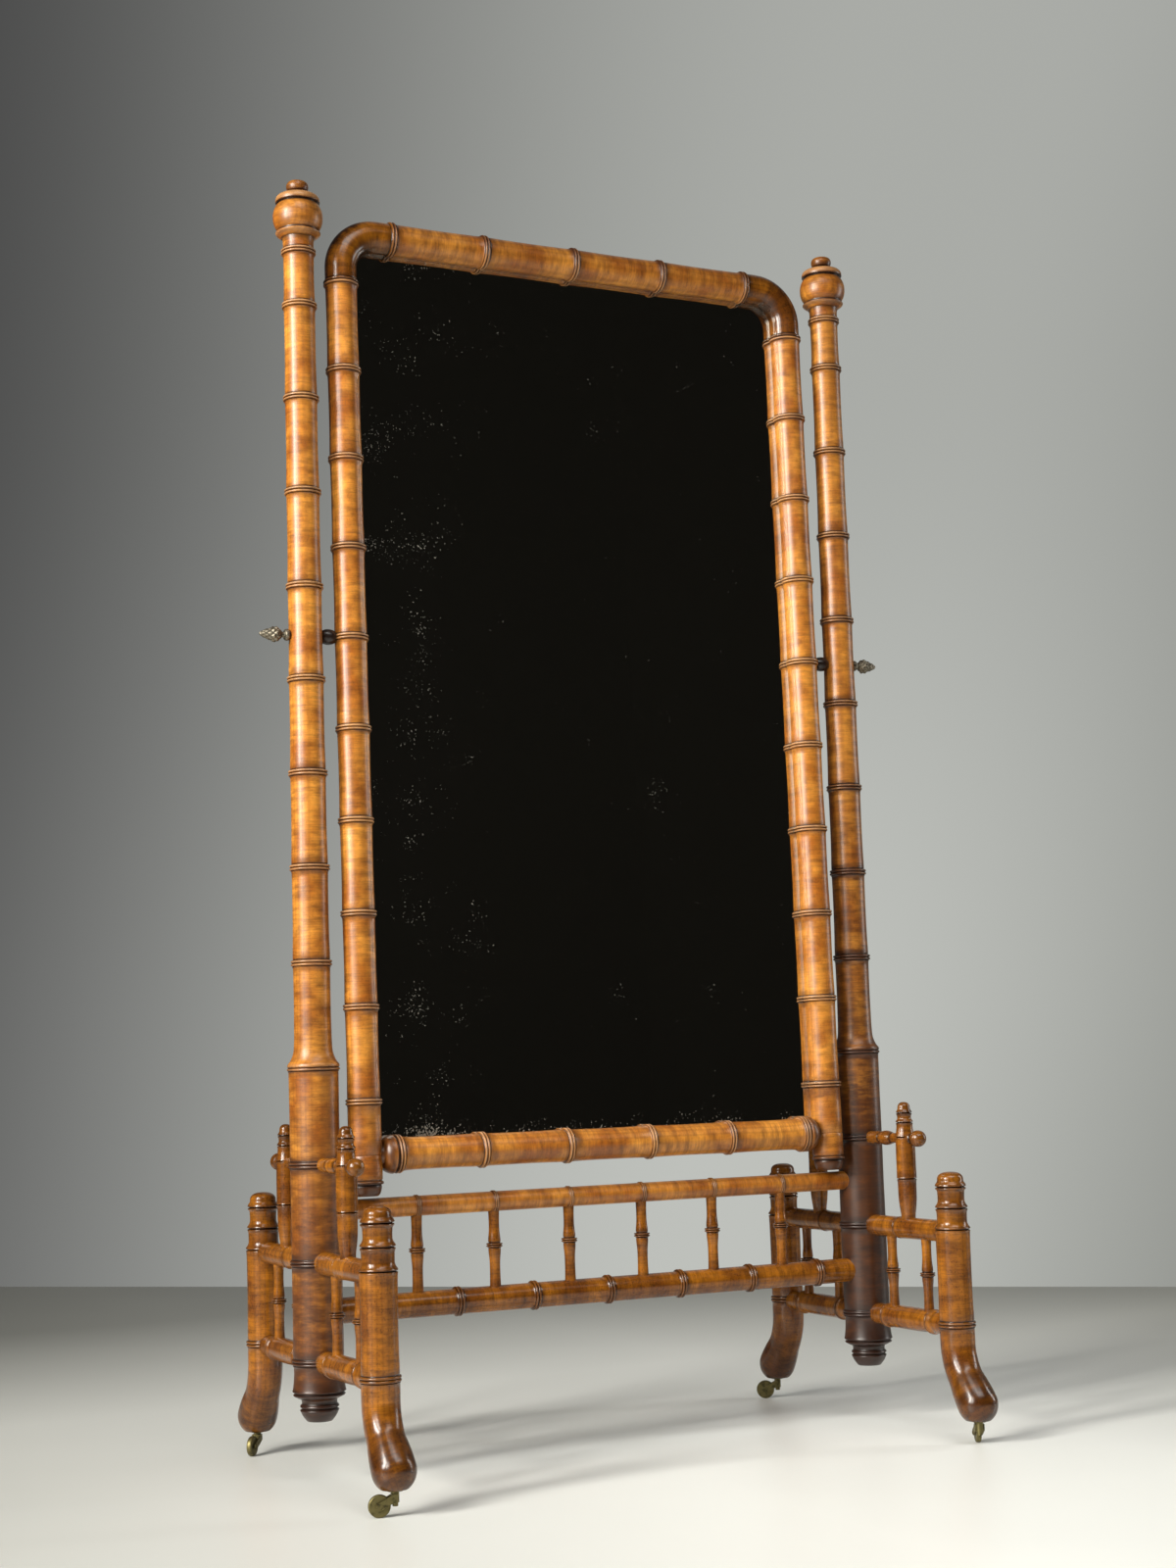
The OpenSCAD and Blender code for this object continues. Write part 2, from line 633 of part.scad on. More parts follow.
module front_left_spur_ball() { color(brown) spur_ball(-1, -1); }
module rear_left_spur_ball() { color(brown) spur_ball(-1, 1); }
module front_right_spur_ball() { color(brown) spur_ball(1, -1); }
module rear_right_spur_ball() { color(brown) spur_ball(1, 1); }

// A long stretcher between the posts, with cut rings
function stretcher_outline(r, ring_x, lift, half) = let (e = post_x - seat(post_r, r) - glue) concat(
    [[tenon_r, -e - tenon_len], [tenon_r, -e], [r, -e]],
    [for (x = ring_x) each ring_pair(x, r, lift, half)],
    [[r, e], [tenon_r, e], [tenon_r, e + tenon_len]]);

module upper_stretcher() {
    color(honey) translate([0, 0, upper_stretcher_z])
        difference() {
            sideways(1) turned(stretcher_outline(upper_stretcher_d / 2, upper_stretcher_rings, 1.5, 4));
            for (x = upper_stretcher_rings)
                translate([x, 0, 0]) rotate([180, 0, 0])
                    translate([0, 0, seat(upper_stretcher_d / 2, baluster_d / 2)])
                        cylinder(r = baluster_d / 2 + glue, h = 20);
        }
}

module lower_stretcher() {
    color(brown) translate([0, 0, lower_stretcher_z])
        difference() {
            sideways(1) turned(stretcher_outline(lower_stretcher_d / 2, lower_stretcher_rings, 3, 6.5));
            for (x = upper_stretcher_rings)
                translate([x, 0, seat(lower_stretcher_d / 2, baluster_d / 2)])
                    cylinder(r = baluster_d / 2 + glue, h = 20);
        }
}

module stretcher_spindles() {
    bottom = lower_stretcher_z + seat(lower_stretcher_d / 2, baluster_d / 2) + glue;
    top = upper_stretcher_z - seat(upper_stretcher_d / 2, baluster_d / 2) - glue;
    color(brown) for (x = upper_stretcher_rings)
        translate([x, 0, 0])
            spindle(bottom, top, bottom + 0.52 * (top - bottom), baluster_d);
}

// Places a caster piece under a toe, turned to its rest direction
module under_toe(side, way) {
    index = (side > 0 ? 2 : 0) + (way > 0 ? 1 : 0);
    translate([side * post_x, way * (leg_y + toe_out), 0])
        rotate([0, 0, caster_turn[index]])
            children();
}

// Plates with the stem that is driven into the toe and the pin that the horn turns on
module caster_plates() {
    color(brass) for (side = [-1, 1], way = [-1, 1])
        under_toe(side, way) {
            translate([0, 0, foot_z - plate_t])
                cylinder(d = plate_d, h = plate_t);
            translate([0, 0, foot_z - plate_t])
                cylinder(d = stem_d, h = plate_t + stem_len);
            translate([0, 0, horn_foot - turning_gap - 1])
                cylinder(r = swivel_pin_r, h = boss_h + 5);
            translate([0, 0, horn_foot - turning_gap - pin_head_h])
                cylinder(d = pin_head_d, h = pin_head_h);
        }
}

// Horn: the boss on the swivel pin, the bridge and the two arms down to the axle
module caster_horn(side, way) {
    arm_y = wheel_w / 2 + wheel_gap;
    eye_r = 4.6;
    root_z = horn_foot + eye_r;
    drop = root_z - wheel_d / 2;
    tilt = atan(drop / (trail - 4));
    color(brass) under_toe(side, way)
        difference() {
            union() {
                translate([0, 0, horn_foot])
                    cylinder(r = boss_r, h = horn_top - horn_foot);
                translate([-2, -arm_y - arm_t, horn_foot + 2])
                    cube([7, 2 * (arm_y + arm_t), 9]);
                for (face = [-1, 1])
                    translate([0, face * (arm_y + arm_t / 2), 0])
                        rotate([90, 0, 0])
                            linear_extrude(arm_t, center = true) {
                                translate([4, root_z]) circle(r = eye_r);
                                translate([trail, wheel_d / 2]) circle(r = eye_r);
                                translate([4, root_z]) rotate(-tilt)
                                    translate([0, -eye_r]) square([norm([trail - 4, drop]), 2 * eye_r]);
                            }
            }
            cylinder(r = swivel_pin_r + running, h = 3 * foot_z, center = true);
            translate([trail, 0, wheel_d / 2]) rotate([90, 0, 0])
                cylinder(r = axle_r + glue, h = 40, center = true);
        }
}

module front_left_caster_horn() { caster_horn(-1, -1); }
module rear_left_caster_horn() { caster_horn(-1, 1); }
module front_right_caster_horn() { caster_horn(1, -1); }
module rear_right_caster_horn() { caster_horn(1, 1); }

// Axle riveted through the horn's arms
module caster_axle(side, way) {
    half = wheel_w / 2 + wheel_gap + arm_t;
    color(brass) under_toe(side, way)
        translate([trail, 0, wheel_d / 2]) rotate([90, 0, 0]) {
            cylinder(r = axle_r, h = 2 * half, center = true);
            for (end = [-1, 1])
                translate([0, 0, end * (half + 0.4)]) cylinder(r = 2.8, h = 0.8, center = true);
        }
}

module front_left_caster_axle() { caster_axle(-1, -1); }
module rear_left_caster_axle() { caster_axle(-1, 1); }
module front_right_caster_axle() { caster_axle(1, -1); }
module rear_right_caster_axle() { caster_axle(1, 1); }

// Wheel with a slightly domed tread and a hub on each face
module caster_wheel(side, way) {
    r = wheel_d / 2;
    w = wheel_w / 2;
    color(brass) under_toe(side, way)
        translate([trail, 0, r]) rotate([90, 0, 0])
            difference() {
                turned([[r - 1.2, -w + 0.6], [r - 0.3, -w + 1.6], [r, -1.5], [r, 1.5], [r - 0.3, w - 1.6],
                    [r - 1.2, w - 0.6]]);
                cylinder(r = axle_r + running, h = 40, center = true);
            }
}

module front_left_caster_wheel() { caster_wheel(-1, -1); }
module rear_left_caster_wheel() { caster_wheel(-1, 1); }
module front_right_caster_wheel() { caster_wheel(1, -1); }
module rear_right_caster_wheel() { caster_wheel(1, 1); }

// Frame of the mirror: heights are measured up from the pivots, and the whole leans at rest
module leaning() {
    translate([0, 0, pivot_z])
        rotate([-mirror_lean, 0, 0])
            children();
}

// Slab with the outline of the glass or the backboard, its edge inset from the frame's axis
module panel(inset, from_y, thick, grow) {
    half = stile_x - inset + grow;
    top = top_t - inset + grow;
    foot = bottom_t + inset - grow;
    corner = elbow_r - inset + grow;
    translate([0, from_y + thick, 0])
        rotate([90, 0, 0])
            linear_extrude(thick) {
                translate([-half, foot]) square([2 * half, top - corner - foot]);
                translate([corner - half, top - corner - 1]) square([2 * (half - corner), corner + 1]);
                for (side = [-1, 1])
                    translate([side * (half - corner), top - corner]) circle(r = corner);
            }
}

// Rebates for the glass and the backboard, open to the back
module rebates() {
    panel(glass_inset, glass_set_back - glue, glass_t + 2 * glue, glue);
    panel(backboard_inset, glass_back + glue, 30, glue);
}

// Screws stand on the line midway between the edges of the backboard and of the glass
module at_screws() {
    line = (glass_inset + backboard_inset) / 2;
    mid_t = (top_t + bottom_t) / 2;
    half_t = (top_t - bottom_t) / 2;
    for (side = [-1, 1], row = screw_rows)
        translate([side * (stile_x - line), 0, mid_t + row * (half_t - elbow_r)]) children();
    for (col = screw_cols) {
        translate([col * elbow_x, 0, top_t - line]) children();
        translate([col * elbow_x, 0, bottom_t + line]) children();
    }
}

module screw_pilots() {
    at_screws() rotate([-90, 0, 0])
        cylinder(r = 1.5 + glue, h = 40);
}

// A stile: ring pairs at equal bays, a scribed line at the bottom rail, an end ring and a tapered drop
function stile_outline() = let (r = frame_r, tail = bottom_t - stile_tail) concat(
    [[r - 7, tail], [r - 4.2, tail + 2.5], [r - 2.6, tail + 6], [r - 1.2, tail + 14],
     [r - 2, tail + 15.5], [r + 1.4, tail + 17], [r + 1.6, tail + 19], [r + 0.8, tail + 20.5],
     [r - 0.8, tail + 21.5], [r + 0.3, tail + 24],
     [r + 0.3, bottom_t - 0.8], [r - 0.5, bottom_t], [r + 0.3, bottom_t + 0.8]],
    [for (i = [-5:3]) each concat(
        ring_pair(i * stile_bay, r, frame_ring_lift, node_half),
        bay(i * stile_bay, r, (i + 1) * stile_bay, r, waist))],
    ring_low(4 * stile_bay, r, frame_ring_lift, node_half),
    [[10, 4 * stile_bay], [10, 4 * stile_bay + 20]]);

module stile(side) {
    color(honey) leaning()
        difference() {
            translate([side * stile_x, 0, 0])
                difference() {
                    turned(stile_outline());
                    sideways(side) translate([0, 0, stile_face])
                        cylinder(r = spotface_r, h = 10);
                    sideways(side) translate([0, 0, stile_face - socket_deep - glue])
                        cylinder(r = socket_r + glue, h = 40);
                    translate([0, 0, bottom_t])
                        sideways(-side) let_in(seat(frame_r, neck_d / 2), neck_d / 2, tenon_r, 12);
                }
            rebates();
            screw_pilots();
        }
}

module left_stile() { stile(-1); }
module right_stile() { stile(1); }

// An elbow between a stile and the top rail, with half a ring pair at each end
module elbow_end() {
    turned(concat(
        [[frame_r + 0.1 * frame_ring_lift, glue]],
        ring_high(0, frame_r, frame_ring_lift, node_half),
        [[frame_r, elbow_leg - elbow_r]]));
}

module elbow(side) {
    color(brown) leaning()
        difference() {
            union() {
                translate([side * stile_x, 0, 4 * stile_bay])
                    elbow_end();
                translate([side * elbow_x, 0, top_t])
                    sideways(side) elbow_end();
                translate([side * (stile_x - elbow_r), 0, top_t - elbow_r])
                    rotate([90, side > 0 ? 0 : -90, 0])
                        rotate_extrude(angle = 90)
                            translate([elbow_r, 0]) circle(r = frame_r);
            }
            translate([side * stile_x, 0, 4 * stile_bay - 1])
                cylinder(r = 10 + glue, h = 21 + glue);
            translate([side * elbow_x, 0, top_t])
                sideways(side) translate([0, 0, -1]) cylinder(r = 10 + glue, h = 21 + glue);
            rebates();
        }
}

module left_elbow() { elbow(-1); }
module right_elbow() { elbow(1); }

// Top rail: three whole ring pairs and half a pair at each end, in four equal bays
function top_rail_outline() = let (r = frame_r, e = elbow_x, step = elbow_x / 2,
    low = ring_low(0, r, frame_ring_lift, node_half)) concat(
    [[10, -e - 20], [10, -e]],
    [for (i = [len(low) - 1:-1:0]) [low[i][0], -e - low[i][1]]],
    bay(-e, r, -step, r, waist),
    ring_pair(-step, r, frame_ring_lift, node_half),
    bay(-step, r, 0, r, waist),
    ring_pair(0, r, frame_ring_lift, node_half),
    bay(0, r, step, r, waist),
    ring_pair(step, r, frame_ring_lift, node_half),
    bay(step, r, e, r, waist),
    [for (p = low) [p[0], e + p[1]]],
    [[10, e], [10, e + 20]]);

module top_rail() {
    color(honey) leaning()
        difference() {
            translate([0, 0, top_t])
                sideways(1) turned(top_rail_outline());
            rebates();
            screw_pilots();
        }
}

// Bottom rail: six ring pairs, the end bays a little shorter, and a bell at each end that necks down into a stile
function bell(way) = let (r = frame_r + 4, n = neck_d / 2, e = end_ring_x + node_half,
    b = stile_x - seat(frame_r, n) - glue, m = stile_x - frame_r - 0.8) way > 0 ? concat(
    [[r, e]], [for (k = [0.2, 0.4, 0.6, 0.8, 1]) [n + (r - n) * sqrt(1 - k * k), e + (m - e) * k]],
    [[n, b], [tenon_r, b], [tenon_r, b + 12]]) : concat(
    [[tenon_r, -b - 12], [tenon_r, -b], [n, -b]],
    [for (k = [1, 0.8, 0.6, 0.4, 0.2]) [n + (r - n) * sqrt(1 - k * k), -e - (m - e) * k]], [[r, -e]]);

function bottom_rail_outline() = let (r = frame_r, rings = [for (i = [-1.5:1.5]) i * rail_bay]) concat(
    bell(-1),
    ring_pair(-end_ring_x, r + 1, frame_ring_lift + 0.4, node_half),
    [for (i = [0:3]) each concat(
        bay(i == 0 ? -end_ring_x : rings[i - 1], r, rings[i], r, waist),
        ring_pair(rings[i], r, frame_ring_lift, node_half))],
    bay(rings[3], r, end_ring_x, r, waist),
    ring_pair(end_ring_x, r + 1, frame_ring_lift + 0.4, node_half),
    bell(1));

module bottom_rail() {
    color(honey) leaning()
        difference() {
            translate([0, 0, bottom_t])
                sideways(1) turned(bottom_rail_outline());
            rebates();
            screw_pilots();
        }
}

module mirror_glass() {
    color("#4a4d4a") leaning()
        panel(glass_inset, glass_set_back, glass_t, 0);
}

module backboard() {
    color("#b08a5a") leaning()
        difference() {
            panel(backboard_inset, glass_back + 2 * glue, backboard_t, 0);
            screw_pilots();
            at_screws() translate([0, glass_back + 2 * glue + backboard_t - 1.5, 0]) rotate([-90, 0, 0])
                cylinder(r = screw_head_d / 2 + glue, h = 5);
        }
}

// Brass screws through the backboard into the frame, with sunk flat heads
module backboard_screws() {
    color(brass) leaning() at_screws()
        translate([0, glass_back + 2 * glue + backboard_t, 0]) rotate([90, 0, 0])
            difference() {
                union() {
                    cylinder(r = screw_head_d / 2, h = 1.3);
                    cylinder(r = 1.5, h = backboard_t + 8);
                }
                translate([-screw_head_d, -0.4, -1])
                    cube([2 * screw_head_d, 0.8, 1.5]);
            }
}

// Thumb-screw: shank through the post and the spacer, collar, neck and pineapple-shaped head
function thumb_screw_outline() = let (k = knob_d / 2, a = post_x + post_face + turning_gap,
    end = a + knob_len) [
    [pivot_d / 2, stile_x + stile_face - socket_deep + 1],
    [pivot_d / 2, a],
    [5, a],
    [8, a + 1.6],
    [8.6, a + 4],
    [7.6, a + 6.8],
    [4.2, a + 9],
    [4, a + 11],
    [5.6, a + 12.4],
    [k - 2.4, a + 16.5],
    [k, a + 20.5],
    [k - 0.6, a + 24.5],
    [k - 3, a + 30],
    [k - 6, end - 7],
    [k - 9, end - 1.5],
    [1.2, end]];

module thumb_screw(side) {
    color(brass) translate([0, 0, pivot_z])
        sideways(side) turned(thumb_screw_outline());
}

module left_thumb_screw() { thumb_screw(-1); }
module right_thumb_screw() { thumb_screw(1); }

// Dark turned spacer between a post and a stile
module spacer(side) {
    r = spacer_d / 2;
    half = spacer_len / 2;
    color(dark_wood) translate([side * (post_x - post_face - turning_gap - half), 0, pivot_z])
        sideways(side)
            difference() {
                turned([for (a = [-50:10:50]) [r - 9 + 9 * cos(a), half * sin(a) / sin(50)]]);
                cylinder(r = pivot_d / 2 + running, h = 60, center = true);
            }
}

module left_spacer() { spacer(-1); }
module right_spacer() { spacer(1); }

// Threaded brass sockets let into the stiles for the ends of the thumb-screws
module stile_sockets() {
    color(brass) leaning() for (side = [-1, 1])
        translate([side * stile_x, 0, 0])
            sideways(side) translate([0, 0, stile_face - socket_deep])
                difference() {
                    cylinder(r = socket_r, h = socket_deep - 0.5);
                    translate([0, 0, -1]) cylinder(r = pivot_d / 2 + running, h = 40);
                }
}

left_post();
right_post();
left_finial();
right_finial();
front_left_leg();
rear_left_leg();
front_right_leg();
rear_right_leg();
front_left_upper_rail();
rear_left_upper_rail();
front_right_upper_rail();
rear_right_upper_rail();
front_left_lower_rail();
rear_left_lower_rail();
front_right_lower_rail();
rear_right_lower_rail();
left_side_spindles();
right_side_spindles();
front_left_spur();
rear_left_spur();
front_right_spur();
rear_right_spur();
front_left_spur_arm();
rear_left_spur_arm();
front_right_spur_arm();
rear_right_spur_arm();
front_left_spur_ball();
rear_left_spur_ball();
front_right_spur_ball();
rear_right_spur_ball();
upper_stretcher();
lower_stretcher();
stretcher_spindles();
caster_plates();
front_left_caster_horn();
rear_left_caster_horn();
front_right_caster_horn();
rear_right_caster_horn();
front_left_caster_axle();
rear_left_caster_axle();
front_right_caster_axle();
rear_right_caster_axle();
front_left_caster_wheel();
rear_left_caster_wheel();
front_right_caster_wheel();
rear_right_caster_wheel();
left_stile();
right_stile();
left_elbow();
right_elbow();
top_rail();
bottom_rail();
mirror_glass();
backboard();
backboard_screws();
left_thumb_screw();
right_thumb_screw();
left_spacer();
right_spacer();
stile_sockets();
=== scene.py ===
"""A cheval mirror in turned beech, cut to look like bamboo: its looks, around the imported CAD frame."""

import math
import random

import bpy
from mathutils import Matrix, Vector


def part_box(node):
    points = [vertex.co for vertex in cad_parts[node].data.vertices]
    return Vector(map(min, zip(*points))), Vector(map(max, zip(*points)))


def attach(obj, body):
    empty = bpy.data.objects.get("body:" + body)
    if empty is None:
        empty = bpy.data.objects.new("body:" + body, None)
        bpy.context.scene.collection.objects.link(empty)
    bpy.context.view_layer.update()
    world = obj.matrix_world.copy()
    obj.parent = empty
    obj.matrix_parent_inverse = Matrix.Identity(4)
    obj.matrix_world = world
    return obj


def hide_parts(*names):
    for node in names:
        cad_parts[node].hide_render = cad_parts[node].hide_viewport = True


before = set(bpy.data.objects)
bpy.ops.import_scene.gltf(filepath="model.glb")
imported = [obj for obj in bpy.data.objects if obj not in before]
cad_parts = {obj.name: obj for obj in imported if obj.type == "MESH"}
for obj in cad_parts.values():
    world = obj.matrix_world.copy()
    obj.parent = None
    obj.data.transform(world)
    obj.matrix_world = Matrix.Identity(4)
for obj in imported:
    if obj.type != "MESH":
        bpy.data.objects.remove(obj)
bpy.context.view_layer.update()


# Camera. It stands low, in front and to the left of the mirror, and looks slightly up at it.
# Its focal length and middle row are in pixels of a picture of 1200 x 1600, its angles in radians.
picture_w, picture_h = 1200, 1600
focal_px = 2326.96
principal_y = 828.76
yaw, pitch, roll = -0.45366, 0.10915, -0.03188
eye = Vector((-1.50828, -3.07872, 0.5654))
ahead = Vector((-math.sin(yaw) * math.cos(pitch), math.cos(yaw) * math.cos(pitch), math.sin(pitch)))
level_right = Vector((math.cos(yaw), math.sin(yaw), 0))
level_up = level_right.cross(ahead)
right = math.cos(roll) * level_right + math.sin(roll) * level_up
up = math.cos(roll) * level_up - math.sin(roll) * level_right

lens = bpy.data.cameras.new("camera")
lens.sensor_width = 36
lens.lens = focal_px * lens.sensor_width / picture_h
lens.shift_y = (principal_y - picture_h / 2) / picture_h
camera = bpy.data.objects.new("camera", lens)
camera.matrix_world = Matrix.Translation(eye) @ Matrix((right, up, -ahead)).transposed().to_4x4()
bpy.context.scene.collection.objects.link(camera)
bpy.context.scene.camera = camera
bpy.context.scene.view_settings.view_transform = "Standard"


# Studio. A painted pale floor that ends behind the mirror, a plain grey surround, soft boxes to
# the left, in front and to the right, a lamp overhead, one over the floor, and black drapes.


def linear(hex_colour):
    """An sRGB hex colour as the linear colour that shaders take."""
    parts = [int(hex_colour[i:i + 2], 16) / 255 for i in (1, 3, 5)]
    return tuple(p / 12.92 if p <= 0.04045 else ((p + 0.055) / 1.055) ** 2.4 for p in parts) + (1.0,)


def add(tree, kind, feeds=None, **settings):
    """Adds a node with its settings; feeds gives its inputs, each a number, a colour or an output.
    A Mix node takes its amount at input 0 and its colours at 6 and 7, and gives its colour at 2."""
    made = tree.nodes.new("ShaderNode" + kind)
    for name, value in settings.items():
        setattr(made, name, value)
    for socket, value in (feeds or {}).items():
        if isinstance(value, bpy.types.NodeSocket):
            tree.links.new(value, made.inputs[socket])
        else:
            made.inputs[socket].default_value = value
    return made


def on_floor(x, y):
    """The point of the floor that shows at a pixel of the picture."""
    ray = ahead + right * (x - picture_w / 2) / focal_px - up * (y - principal_y) / focal_px
    return eye - ray * eye.z / ray.z


floor_line = 1313
floor_reach = 40
back_left, back_right = on_floor(0, floor_line), on_floor(picture_w, floor_line)
edge = (back_right - back_left).normalized()
forward = edge.cross(Vector((0, 0, 1)))
far_left, far_right = back_left - floor_reach * edge, back_right + floor_reach * edge
near_left, near_right = far_left + floor_reach * forward, far_right + floor_reach * forward
floor_mesh = bpy.data.meshes.new("floor")
floor_mesh.from_pydata([far_left, far_right, near_right, near_left], [], [(0, 3, 2, 1)])
floor = bpy.data.objects.new("floor", floor_mesh)
bpy.context.scene.collection.objects.link(floor)

# Painted boards under satin varnish: a chalky white in soft clouds of 0.8 m, which mirrors the
# surround where the eye skims it. Painted shade greys it towards the back, the left and the right.
floor_paint = bpy.data.materials.new("painted_floor")
floor_paint.use_nodes = True
tree = floor_paint.node_tree
place = add(tree, "TexCoord").outputs["Object"]
spot = add(tree, "SeparateXYZ", {0: place})
cloud = add(tree, "TexNoise", {"Vector": place, "Scale": 1.3, "Detail": 3.0})
paint_and_shade = add(tree, "Mix", {0: cloud.outputs["Fac"], 6: linear("#F7F8F4"), 7: linear("#ECEDE9")},
           data_type="RGBA").outputs[2]
# painted shade: each pass multiplies the paint greyer, towards the back, the left and the right
for along, start, end, tone in (("Y", 0.8, 2.2, "#A4A4A1"), ("X", 0.0, -1.5, "#ACACA9"),
                                ("X", 0.6, 2.0, "#B6B5AF")):
    falloff_shade = add(tree, "MapRange", {"Value": spot.outputs[along], "From Min": start, "From Max": end})
    paint_and_shade = add(tree, "Mix", {0: falloff_shade.outputs[0], 6: paint_and_shade, 7: linear(tone)}, data_type="RGBA",
               blend_type="MULTIPLY").outputs[2]
boards = tree.nodes["Principled BSDF"]
tree.links.new(paint_and_shade, boards.inputs["Base Color"])
boards.inputs["Roughness"].default_value = 0.36
floor_mesh.materials.append(floor_paint)

surround = bpy.data.worlds.new("surround")
surround.use_nodes = True
bpy.context.scene.world = surround
tree = surround.node_tree
way = add(tree, "TexCoord").outputs["Generated"]
across = add(tree, "VectorMath", {0: way, 1: right}, operation="DOT_PRODUCT").outputs["Value"]
away = add(tree, "VectorMath", {0: way, 1: ahead}, operation="DOT_PRODUCT").outputs["Value"]
rise = add(tree, "SeparateXYZ", {0: way}).outputs["Z"]
# It is palest a little right of the middle and low down, and darkens to both sides and in front.
# Both dark sides have a leaning edge, so the way across is sheared by the rise.
left_edge = add(tree, "Math", {0: rise, 1: -0.15, 2: across}, operation="MULTIPLY_ADD").outputs[0]
right_edge = add(tree, "Math", {0: rise, 1: -0.25, 2: across}, operation="MULTIPLY_ADD").outputs[0]
grey = linear("#505050")
for blend, value, start, end, tone in (
        ("MIX", left_edge, -0.355, 0.065, "#BEC0BB"), ("MULTIPLY", rise, 0.0, 0.3, "#E4E4E4"),
        ("MULTIPLY", right_edge, 0.08, 0.4, "#A9A9A6"), ("MIX", away, 0.85, 0.1, "#262626")):
    amount = add(tree, "MapRange", {"Value": value, "From Min": start, "From Max": end},
                 interpolation_type="SMOOTHSTEP").outputs[0]
    grey = add(tree, "Mix", {0: amount, 6: grey, 7: linear(tone)}, data_type="RGBA",
               blend_type=blend).outputs[2]
tree.links.new(grey, tree.nodes["Background"].inputs["Color"])
tree.nodes["Background"].inputs["Strength"].default_value = 1.0


def soft_light(name, at, aim, width, height, watts, tint, spread=180):
    """A large flat lamp, as a diffuser gives, turned to what it lights; spread is in degrees."""
    lamp = bpy.data.lights.new(name, "AREA")
    lamp.shape = "RECTANGLE"
    lamp.size, lamp.size_y = width, height
    lamp.energy = watts
    lamp.color = linear(tint)[:3]
    lamp.spread = math.radians(spread)
    held = bpy.data.objects.new(name, lamp)
    held.location = at
    held.rotation_euler = (Vector(aim) - Vector(at)).to_track_quat("-Z", "Y").to_euler()
    held.visible_camera = False
    bpy.context.scene.collection.objects.link(held)


soft_light("softbox_left", (-4.18, -1.02, 2.5), (0, 0, 1.35), 0.8, 2.5, 295, "#FFFCF4")
soft_light("softbox_front", (-3.5, -2.1, 2.3), (0, 0, 1.4), 0.5, 2.2, 88, "#FFFCF4")
soft_light("softbox_right", (3.6, -0.9, 1.6), (0, 0, 1.1), 0.4, 2.4, 36, "#FDFBF8")
soft_light("overhead", (-0.7, -1.5, 3.4), (-0.1, 0, 1.2), 1.3, 0.9, 8, "#FFFEFA", 120)
soft_light("floor_light", (0.3, -2.2, 3.0), (0.45, -0.8, 0), 2.0, 1.0, 7.5, "#FFFEFA", 80)

# Black felt drapes hang round the front of the studio, far behind the camera, for the glass to
# look at: dull cloth that gives nearly nothing back, so the glass reads as black.
drape_r, drape_top = 7.0, 5.5
drape_line = [(drape_r * math.cos(math.radians(a)), drape_r * math.sin(math.radians(a)))
              for a in range(172, 369, 14)]
folds = len(drape_line)
drape_mesh = bpy.data.meshes.new("black_drapes")
drape_mesh.from_pydata([(x, y, z) for z in (0, drape_top) for x, y in drape_line], [],
                       [(n, n + 1, n + 1 + folds, n + folds) for n in range(folds - 1)])
drapes = bpy.data.objects.new("black_drapes", drape_mesh)
drapes.visible_camera = drapes.visible_diffuse = drapes.visible_shadow = False
bpy.context.scene.collection.objects.link(drapes)
felt = bpy.data.materials.new("black_felt")
felt.use_nodes = True
cloth = felt.node_tree.nodes["Principled BSDF"]
cloth.inputs["Base Color"].default_value = linear("#14120E")
cloth.inputs["Roughness"].default_value = 0.95
drape_mesh.materials.append(felt)


# Posts. Each is one long piece of beech, turned between centres: a hanging foot, a thick base
# with cut rings, a flare and a slender tapering shaft with a pair of rings at every "joint".
MM = 0.001  # the sizes of all pieces are in mm, in the frame of the CAD model
ring_half = 6.5
shaft_bottom_z, shaft_top_z = 569.995, 1756.895
shaft_bottom_r, shaft_taper = 27.0, 4.5
lower_rail_z, upper_rail_z, arm_z = 164.995, 299.995, 434.995
pivot_z = 1187.495
spotface_r = 12
post_r = 35.5
post_ring_lift = 2.9
shoulder_z = 1777.895
first_ring_z, mid_bay, upper_bay = 716.995, 135.5, 138.967
post_ring_z = [first_ring_z + mid_bay * i for i in range(5)]
post_ring_z += [post_ring_z[-1] + upper_bay * i for i in (1, 2, 3)] + [shaft_top_z]


def shaft_r(z):
    """Radius of the post's slender shaft at height z."""
    return shaft_bottom_r - shaft_taper * (z - shaft_bottom_z) / (shaft_top_z - shaft_bottom_z)


# An outline is a list of (radius, place along the axis, tone) in mm. The tone runs from -1 in the
# black bottom of a cut, dark stain with painted shade, to 1 on the rubbed, pale crest of a bead; a point
# without one is plain.
def ring_low(z, r, lift, half=ring_half):
    """Lower half of a cut joint: a fillet, a nick and a round bead, down into the middle groove."""
    return [(r, z - half, 0), (r + 0.4 * lift, z - 0.8 * half, 0.1), (r, z - 0.7 * half, -1),
            (r + 0.75 * lift, z - 0.56 * half, 0.3), (r + lift, z - 0.34 * half, 0.8),
            (r + 0.75 * lift, z - 0.12 * half, 0.2), (r + 0.1 * lift, z, -1)]


def ring_high(z, r, lift, half=ring_half):
    """Upper half of a cut joint: the paler bead and the nick above it."""
    return [(r + 0.75 * lift, z + 0.12 * half, 0.3), (r + lift, z + 0.34 * half, 1),
            (r + 0.7 * lift, z + 0.58 * half, 0.5), (r - 0.15 * lift, z + 0.74 * half, -1),
            (r, z + half, 0)]


def ring_pair(z, r, lift, half=ring_half):
    """A whole cut joint: two beads with a groove between them."""
    return ring_low(z, r, lift, half) + ring_high(z, r, lift, half)


def bay(z0, r0, z1, r1, narrow=0.7):
    """Three points of the shaft between two joints, a little slimmer in the middle."""
    return [(r0 + (r1 - r0) * k - narrow * math.sin(math.pi * k), z0 + (z1 - z0) * k)
            for k in (0.25, 0.5, 0.75)]


